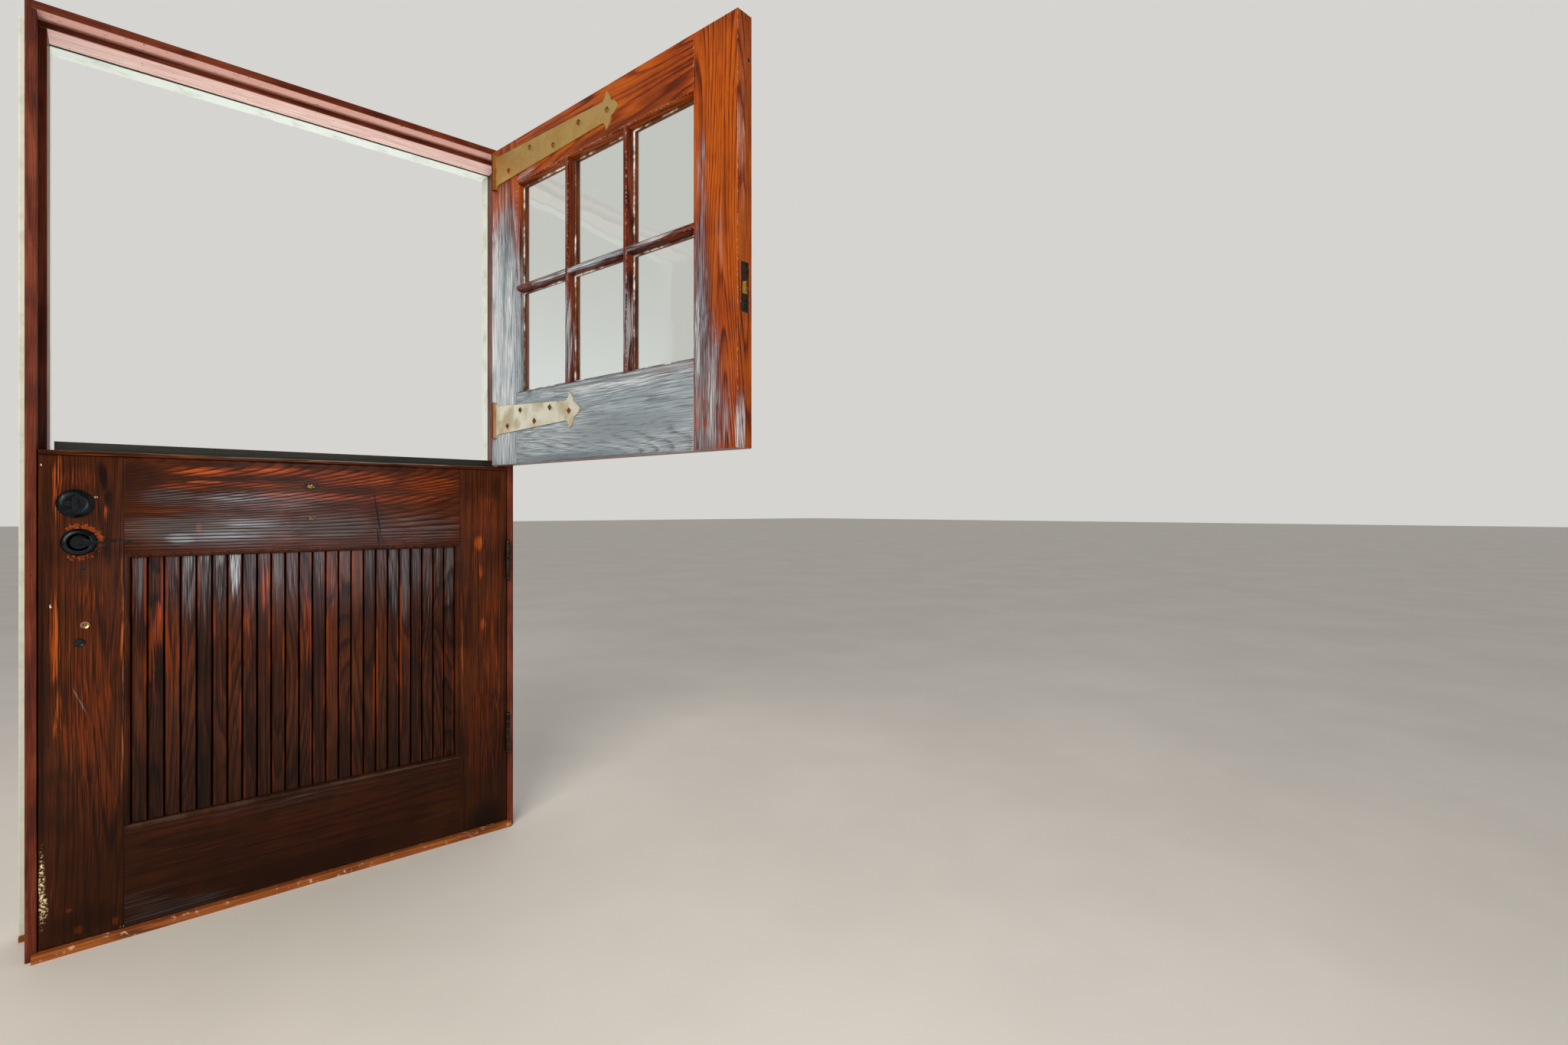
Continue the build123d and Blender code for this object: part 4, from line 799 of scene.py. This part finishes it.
def metal(name, body, tarnish, wear, roughness, upper=False, size=22 * MM, barrel=None, hollow_shade=None):
    """Plated metal with cloudy tarnish and worn edges, given as hex codes. A strap's barrel can have a
    colour of its own, and a washer painted shade in its cup."""
    material, tree, place = new_material(name, upper)
    barrel_starts, barrel_ends = 480 * MM, 483 * MM
    cloud = blotches(tree, place, size, 0.4, 0.68)
    tint = blend(tree, cloud, body, linear(tarnish))
    share = times(tree, worn_edge(tree, 1.5 * MM), blotches(tree, place, 5 * MM, 0.35, 0.6))
    tint = blend(tree, share, tint, linear(wear))
    if barrel:
        span = {"Value": axis(tree, place, "X"), "From Min": barrel_starts, "From Max": barrel_ends}
        tint = blend(tree, add(tree, "MapRange", span), tint, linear(barrel))
    if hollow_shade:
        # Painted shade in a washer's cup
        tint = blend(tree, patches(tree, place, (hollow_shade,)), tint, linear("#1a110a"))
    low, high = roughness
    rough = add(tree, "MapRange", {"Value": cloud, "To Min": low, "To Max": high})
    fine = blotches(tree, place, 3 * MM, 0.3, 0.7)
    normal = add(tree, "Bump", {"Strength": 0.25, "Distance": 0.15 * MM, "Height": fine})
    surface(tree, Base_Color=tint, Metallic=1.0, Roughness=rough, Normal=normal)
    return material


def window_glass():
    """Old float glass, clear with slow waves and a little haze."""
    material, tree, place = new_material("old_window_glass", True)
    wave = add(tree, "TexNoise", {"Vector": place, "Scale": 7.0, "Detail": 1.5})
    normal = add(tree, "Bump", {"Strength": 0.5, "Distance": 2 * MM, "Height": wave})
    haze = blotches(tree, place, 70 * MM, 0.45, 0.8)
    rough = add(tree, "MapRange", {"Value": haze, "To Min": 0.0, "To Max": 0.08})
    surface(
        tree, Base_Color=linear("#eef4f0"), Roughness=rough, IOR=1.5, Transmission_Weight=1.0, Normal=normal
    )
    return material


def caulk():
    """Glossy white caulk round the panes, yellowed and picked up with stain."""
    material, tree, place = new_material("smeared_white_caulk", True)
    smear = blotches(tree, place, 45 * MM, 0.38, 0.6, 6.0)
    stops = [(0.0, linear("#e0ddd4")), (0.35, linear("#8d847c")), (0.8, linear("#4a2c1e"))]
    tint = add(tree, "ValToRGB", {"Fac": smear}, stops=stops)
    rough = add(tree, "MapRange", {"Value": smear, "To Min": 0.15, "To Max": 0.4})
    lumps = blotches(tree, place, 4 * MM, 0.3, 0.7)
    normal = add(tree, "Bump", {"Strength": 0.5, "Distance": 0.4 * MM, "Height": lumps})
    surface(tree, Base_Color=tint, Roughness=rough, IOR=1.45, Normal=normal)
    return material


# Operators, one for each piece or group of like pieces


class DOOR_OT_frame(Operator):
    """Eases and stains the jambs and the head"""

    bl_idname = "stable_door.frame"
    bl_label = "Frame"

    def execute(self, context):
        tint = colours()
        body = (tint.frame_dark, tint.frame_body, tint.frame_light)
        upright = frame_wood("varnished_frame_upright", "Z", 0.3, body)
        level = frame_wood("varnished_frame_level", "X", 1.3, body)
        for node, material in (("latch_jamb", upright), ("hinge_jamb", upright), ("head_jamb", level)):
            eased(node, "frame", material)
        return {"FINISHED"}


class DOOR_OT_sill(Operator):
    """Eases and varnishes the sill"""

    bl_idname = "stable_door.sill"
    bl_label = "Sill"

    def execute(self, context):
        eased("threshold", "frame", sill_wood())
        return {"FINISHED"}


class DOOR_OT_casing(Operator):
    """Paints the outdoor casing and blackens its sealing strips"""

    bl_idname = "stable_door.casing"
    bl_label = "Casing"

    def execute(self, context):
        paint = casing_paint()
        for node in ("side_casings", "head_casing"):
            eased(node, "frame", paint)
        finish_node("seal_strips", seal_rubber())
        return {"FINISHED"}


class DOOR_OT_hinges(Operator):
    """Plates the butt hinges, their pins and their screws"""

    bl_idname = "stable_door.hinges"
    bl_label = "Hinges"

    def execute(self, context):
        bronze = metal(
            "oiled_bronze_plating", linear("#3a2f28"), "#1c1714", "#a07a48", (0.3, 0.5)
        )
        screw = metal(
            "dark_plated_screws", linear("#2f2a26"), "#1a1715", "#8a7450", (0.3, 0.5)
        )
        for node in ("hinge_jamb_plates", "hinge_pins", "lower_hinge_plates", "upper_hinge_plates"):
            finish_node(node, bronze)
        for node in ("hinge_jamb_screws", "lower_hinge_screws", "upper_hinge_screws"):
            finish_node(node, screw)
        for node in ("strike_screws", "faceplate_screws", "upper_faceplate_screws"):
            finish_node(node, screw)
        brass = metal("dull_brass_strikes", linear("#8a6a34"), "#5a4526", "#c9a868", (0.35, 0.5))
        finish_node("strikes", brass)
        return {"FINISHED"}


class DOOR_OT_lower_framing(Operator):
    """Eases and stains the stiles and rails of the lower leaf"""

    bl_idname = "stable_door.lower_framing"
    bl_label = "Lower stiles and rails"

    def execute(self, context):
        members = (
            ("lower_latch_stile", "Z", 2.0, LATCH_STILE_MARKS, LATCH_STILE_DOTS),
            ("lower_hinge_stile", "Z", 4.0, HINGE_STILE_MARKS, ()),
            ("lower_top_rail", "X", 6.0, TOP_RAIL_MARKS, TOP_RAIL_DOTS),
            ("lower_bottom_rail", "X", 8.0, BOTTOM_RAIL_MARKS, ()),
        )
        for node, along, seed, marks, dots in members:
            flame = node == "lower_top_rail"
            material = lower_wood(f"walnut_stain_{node}", along, seed, marks, dots, flame)
            eased(node, "lower_leaf", material)
        return {"FINISHED"}


class DOOR_OT_panel(Operator):
    """Stains the boards and the mouldings round them"""

    bl_idname = "stable_door.panel"
    bl_label = "Boarded panel"

    def execute(self, context):
        finish_node("panel_boards", board_wood())
        # The bottom moulding carries a painted highlight line
        trim = lower_wood("walnut_stain_mouldings", "Z", 9.0, (), TRIM_HIGHLIGHT, dot_size=90 * MM)
        finish_node("room_panel_mouldings", trim)
        finish_node("outdoor_panel_mouldings", trim)
        return {"FINISHED"}


class DOOR_OT_cap(Operator):
    """Finishes the cap on the lower leaf and its weather lip"""

    bl_idname = "stable_door.cap"
    bl_label = "Cap and weather lip"

    def execute(self, context):
        material = lower_wood("walnut_stain_cap", "X", 11.0, CAP_MARKS)
        eased("cap", "lower_leaf", material)
        eased("weather_lip", "lower_leaf", lip_paint())
        return {"FINISHED"}


class DOOR_OT_locks(Operator):
    """Blackens the deadbolt and the lever set and brightens their bolts"""

    bl_idname = "stable_door.locks"
    bl_label = "Locks"

    def execute(self, context):
        black = metal(
            "black_oiled_bronze", colours().bronze, "#141a1d", "#4c3c30", (0.28, 0.42)
        )
        steel = metal("plain_steel", linear("#b0aeaa"), "#8c8984", "#d0cec8", (0.25, 0.4))
        for node in ("deadbolt_rose", "deadbolt_turn", "deadbolt_cylinder", "lever_roses", "lock_faceplates"):
            finish_node(node, black)
        for node in ("room_lever", "outdoor_lever"):
            finish_node(node, black)
        for node in ("black_washer", "deadbolt_rose_screws", "black_washer_screws"):
            finish_node(node, black)
        for node in ("deadbolt", "latch_bolt", "lever_spindle", "bolt_cases", "upper_case"):
            finish_node(node, steel)
        # The pale washer gets painted shade in its cup
        ring = metal(
            "pale_copper_brass", linear("#d2ac84"), "#a8795a", "#f4dcc0", (0.25, 0.4),
            hollow_shade=(-435, 717.6, 6.8, 6.8, 1.0),
        )
        yellow = metal("yellow_brass", linear("#9a7440"), "#4a3420", "#f4e0a8", (0.25, 0.4))
        finish_node("brass_washer", ring)
        finish_node("brass_washer_screw", yellow)
        return {"FINISHED"}


class DOOR_OT_upper_framing(Operator):
    """Eases and stains the stiles and rails of the upper leaf"""

    bl_idname = "stable_door.upper_framing"
    bl_label = "Upper stiles and rails"

    def execute(self, context):
        tint = colours()
        orange = (tint.upper_dark, tint.upper_body, tint.upper_light)
        red = (linear("#2e0f08"), linear("#5a2213"), linear("#843a20"))
        members = (
            ("upper_latch_stile", "Z", 1.0, UPPER_LATCH_MARKS, orange),
            ("upper_hinge_stile", "Z", 3.0, UPPER_HINGE_MARKS, orange),
            ("upper_top_rail", "X", 5.0, UPPER_TOP_MARKS, orange),
            ("upper_bottom_rail", "X", 7.0, UPPER_BOTTOM_MARKS, orange),
            ("vertical_muntins", "Z", 9.0, UPRIGHT_BAR_MARKS, red),
            ("horizontal_muntins", "X", 11.0, LEVEL_BAR_MARKS, red),
        )
        for node, along, seed, marks, body in members:
            material = upper_wood(f"orange_stain_{node}", along, seed, marks, body)
            eased(node, "upper_leaf", material, 0.8)
        finish_node("glazing_beads", upper_wood("orange_stain_beads", "Z", 13.0, (), orange))
        return {"FINISHED"}


class DOOR_OT_panes(Operator):
    """Glazes the six panes"""

    bl_idname = "stable_door.panes"
    bl_label = "Panes"

    def execute(self, context):
        finish_node("glass_panes", window_glass())
        return {"FINISHED"}


class DOOR_OT_caulk(Operator):
    """Runs a lumpy line of caulk round each pane, outdoors"""

    bl_idname = "stable_door.caulk"
    bl_label = "Caulk"

    def execute(self, context):
        material = caulk()
        for column, (left, right) in enumerate(PANE_SIDES):
            for row, (low, high) in enumerate(PANE_HEIGHTS):
                mesh = caulk_line(left * MM, right * MM, low * MM, high * MM)
                place_piece(mesh, f"caulk_{column}_{row}", "upper_leaf", material)
        return {"FINISHED"}


def caulk_line(left, right, low, high):
    """A rounded, uneven ring in the corner between a pane and the wood round it."""
    width, height, face = sizes().caulk_width, 2.2 * MM, 24 * MM
    sunk, ease, cuts = 0.1 * MM, 0.85, 36
    lump, coarse, fine = 0.6 * MM, 90, 260
    mesh = bmesh.new()
    size = Matrix.Diagonal((right - left, high - low, 1, 1))
    upright = Matrix.Rotation(math.radians(90), 4, "X")
    middle = Matrix.Translation(((left + right) / 2, face - sunk, (low + high) / 2))
    bmesh.ops.create_grid(mesh, x_segments=1, y_segments=1, size=0.5, matrix=middle @ upright @ size)
    pane = mesh.faces[:]
    bmesh.ops.inset_region(mesh, faces=pane, thickness=width, use_boundary=True, use_even_offset=True)
    bmesh.ops.delete(mesh, geom=pane, context="FACES")
    raised = bmesh.ops.extrude_face_region(mesh, geom=mesh.faces[:])["geom"]
    tops = [part for part in raised if isinstance(part, bmesh.types.BMVert)]
    bmesh.ops.translate(mesh, verts=tops, vec=(0, height, 0))
    bmesh.ops.recalc_face_normals(mesh, faces=mesh.faces)
    inner = [
        edge for edge in mesh.edges
        if all(vertex.co.y > face + height / 2 for vertex in edge.verts)
        and all(left + width / 2 < vertex.co.x < right - width / 2 for vertex in edge.verts)
    ]
    bmesh.ops.bevel(
        mesh, geom=inner, offset=height * ease, offset_type="OFFSET", affect="EDGES", segments=3,
        profile=0.5, material=-1, clamp_overlap=True,
    )
    long_edges = [edge for edge in mesh.edges if edge.calc_length() > 60 * MM]
    bmesh.ops.subdivide_edges(mesh, edges=long_edges, cuts=cuts, use_grid_fill=True)
    for vertex in mesh.verts:
        if vertex.co.y > face:
            wave = noise.noise(vertex.co * coarse) + 0.5 * noise.noise(vertex.co * fine)
            vertex.co.y += wave * lump
    bmesh.ops.transform(mesh, matrix=open_turn, verts=mesh.verts)
    for side in mesh.faces:
        side.smooth = True
    return mesh


class DOOR_OT_straps(Operator):
    """Plates the two strap hinges and their nails"""

    bl_idname = "stable_door.straps"
    bl_label = "Strap hinges"

    def execute(self, context):
        tint = colours()
        plating = (
            ("upper_strap", "gold_brass_plating", tint.brass, "#c8a460"),
            ("lower_strap", "pale_worn_brass", tint.pale_brass, "#d2c6a2"),
        )
        for node, name, body, tarnish in plating:
            brass = metal(
                name, body, tarnish, "#3a2414", (0.45, 0.6), upper=True, size=60 * MM, barrel="#6e3c1a"
            )
            finish_node(node, brass)
        bronze = metal("bronze_nails", linear("#96652f"), "#6a4020", "#d8b078", (0.4, 0.55), upper=True)
        finish_node("strap_nails", bronze)
        return {"FINISHED"}


class DOOR_OT_upper_latch(Operator):
    """Finishes the latch and the plug in the upper leaf"""

    bl_idname = "stable_door.upper_latch"
    bl_label = "Upper latch"

    def execute(self, context):
        bronze = metal(
            "worn_dark_bronze", linear("#4a3a30"), "#2a211c", "#a08058", (0.32, 0.5), True
        )
        for node in ("upper_faceplate", "upper_rose", "upper_turn"):
            finish_node(node, bronze)
        brass = metal("bolt_brass", linear("#c08a3c"), "#7a5628", "#e8c880", (0.25, 0.4), True)
        finish_node("upper_bolt", brass)
        finish_node("edge_plug", seal_rubber())
        return {"FINISHED"}


class DOOR_OT_stage(Operator):
    """Lays the pale floor and sets the camera and the soft lights"""

    bl_idname = "stable_door.stage"
    bl_label = "Stage"

    def execute(self, context):
        make_floor()
        make_camera()
        make_world()
        area_light("key_light", (-2.6, -3.0, 2.6), (0.2, 0.0, 1.0), (2.6, 2.2), 124, "#fff6ea")
        area_light(
            "outdoor_light", (0.2, 1.6, 0.4), (0.0, 0.05, 2.0), (1.6, 1.0), 26, "#f2f5ff", spread=100,
            glossy=False,
        )
        area_light("fill_light", (0.5, -3.4, 0.7), (0.1, 0.0, 0.9), (0.9, 0.6), 10, "#eef3ff")
        return {"FINISHED"}


def make_floor():
    """A plain pale floor under the sill."""
    mesh = bmesh.new()
    bmesh.ops.create_grid(mesh, x_segments=2, y_segments=2, size=60.0)
    data = bpy.data.meshes.new("floor")
    mesh.to_mesh(data)
    mesh.free()
    material, tree, place = new_material("pale_floor")
    cloud = blotches(tree, place, 0.8, 0.3, 0.7)
    tint = blend(tree, cloud, colours().floor, linear("#dfdcd6"))
    surface(tree, Base_Color=tint, Roughness=0.7, IOR=1.45)
    data.materials.append(material)
    floor = bpy.data.objects.new("floor", data)
    bpy.context.scene.collection.objects.link(floor)


def make_camera():
    """The camera, where the photograph was taken from."""
    lens = bpy.data.cameras.new("camera")
    lens.sensor_width = 36
    lens.lens = PHOTO_FOCUS * lens.sensor_width / PHOTO_WIDTH
    lens.shift_y = PHOTO_RISE / PHOTO_WIDTH
    camera = bpy.data.objects.new("camera", lens)
    bpy.context.scene.collection.objects.link(camera)
    camera.location = CAMERA_PLACE
    camera.rotation_euler = Euler((math.pi / 2, 0, -math.radians(CAMERA_YAW)))
    bpy.context.scene.camera = camera


def make_world():
    """Soft surrounding light, pale beyond the door and darker in the room behind."""
    world = bpy.data.worlds.new("studio")
    world.use_nodes = True
    bpy.context.scene.world = world
    tree = world.node_tree
    tree.nodes.clear()
    direction = add(tree, "TexCoord", output="Generated")
    share = soft_step(tree, agreement(tree, direction, (0.67, 0.74, 0.0)), -0.3, 0.55)
    tint = blend(tree, share, linear("#76726d"), linear("#d6d4d0"))
    # A bright band above the horizon on the side that the open leaf's varnish mirrors
    glow = soft_step(tree, agreement(tree, direction, (-0.75, 0.66, 0.0)), 0.72, 1.0)
    glow = times(tree, glow, by_height(tree, direction, 0.34, 0.06))
    tint = blend(tree, glow, tint, (1.5, 1.6, 1.75, 1))
    light = add(tree, "Background", {"Color": tint, "Strength": 1.0})
    output = tree.nodes.new("ShaderNodeOutputWorld")
    tree.links.new(light, output.inputs["Surface"])


def area_light(name, place, target, size, power, code, spread=150, glossy=True):
    """A soft light that faces a point. One that isn't glossy leaves no reflection of its own."""
    light = bpy.data.lights.new(name, "AREA")
    light.shape = "RECTANGLE"
    light.size, light.size_y = size
    light.energy = power
    light.spread = math.radians(spread)
    light.color = linear(code)[:3]
    lamp = bpy.data.objects.new(name, light)
    bpy.context.scene.collection.objects.link(lamp)
    lamp.location = place
    lamp.visible_camera = False
    lamp.visible_glossy = glossy
    lamp.rotation_euler = (Vector(target) - Vector(place)).to_track_quat("-Z", "Y").to_euler()


class DOOR_PT_panel(Panel):
    """Lists the door's pieces, sizes and colours"""

    bl_idname = "DOOR_PT_panel"
    bl_label = "Stable Door"
    bl_space_type = "VIEW_3D"
    bl_region_type = "UI"
    bl_category = "Stable Door"

    def draw(self, context):
        for group in (context.scene.stable_door_sizes, context.scene.stable_door_colours):
            for name in group.__annotations__:
                self.layout.prop(group, name)
        for operator in OPERATORS:
            self.layout.operator(operator.bl_idname)


OPERATORS = (
    DOOR_OT_frame, DOOR_OT_sill, DOOR_OT_casing, DOOR_OT_hinges, DOOR_OT_lower_framing, DOOR_OT_panel,
    DOOR_OT_cap, DOOR_OT_locks, DOOR_OT_upper_framing, DOOR_OT_panes, DOOR_OT_caulk, DOOR_OT_straps,
    DOOR_OT_upper_latch, DOOR_OT_stage,
)
CLASSES = (DoorSizes, DoorColours, *OPERATORS, DOOR_PT_panel)


def register():
    for one in CLASSES:
        bpy.utils.register_class(one)
    bpy.types.Scene.stable_door_sizes = PointerProperty(type=DoorSizes)
    bpy.types.Scene.stable_door_colours = PointerProperty(type=DoorColours)


def unregister():
    del bpy.types.Scene.stable_door_colours
    del bpy.types.Scene.stable_door_sizes
    for one in reversed(CLASSES):
        bpy.utils.unregister_class(one)


def main():
    register()
    bpy.context.scene.view_settings.view_transform = "Standard"
    for operator in OPERATORS:
        group, name = operator.bl_idname.split(".")
        getattr(getattr(bpy.ops, group), name)()


if __name__ == "__main__":
    main()
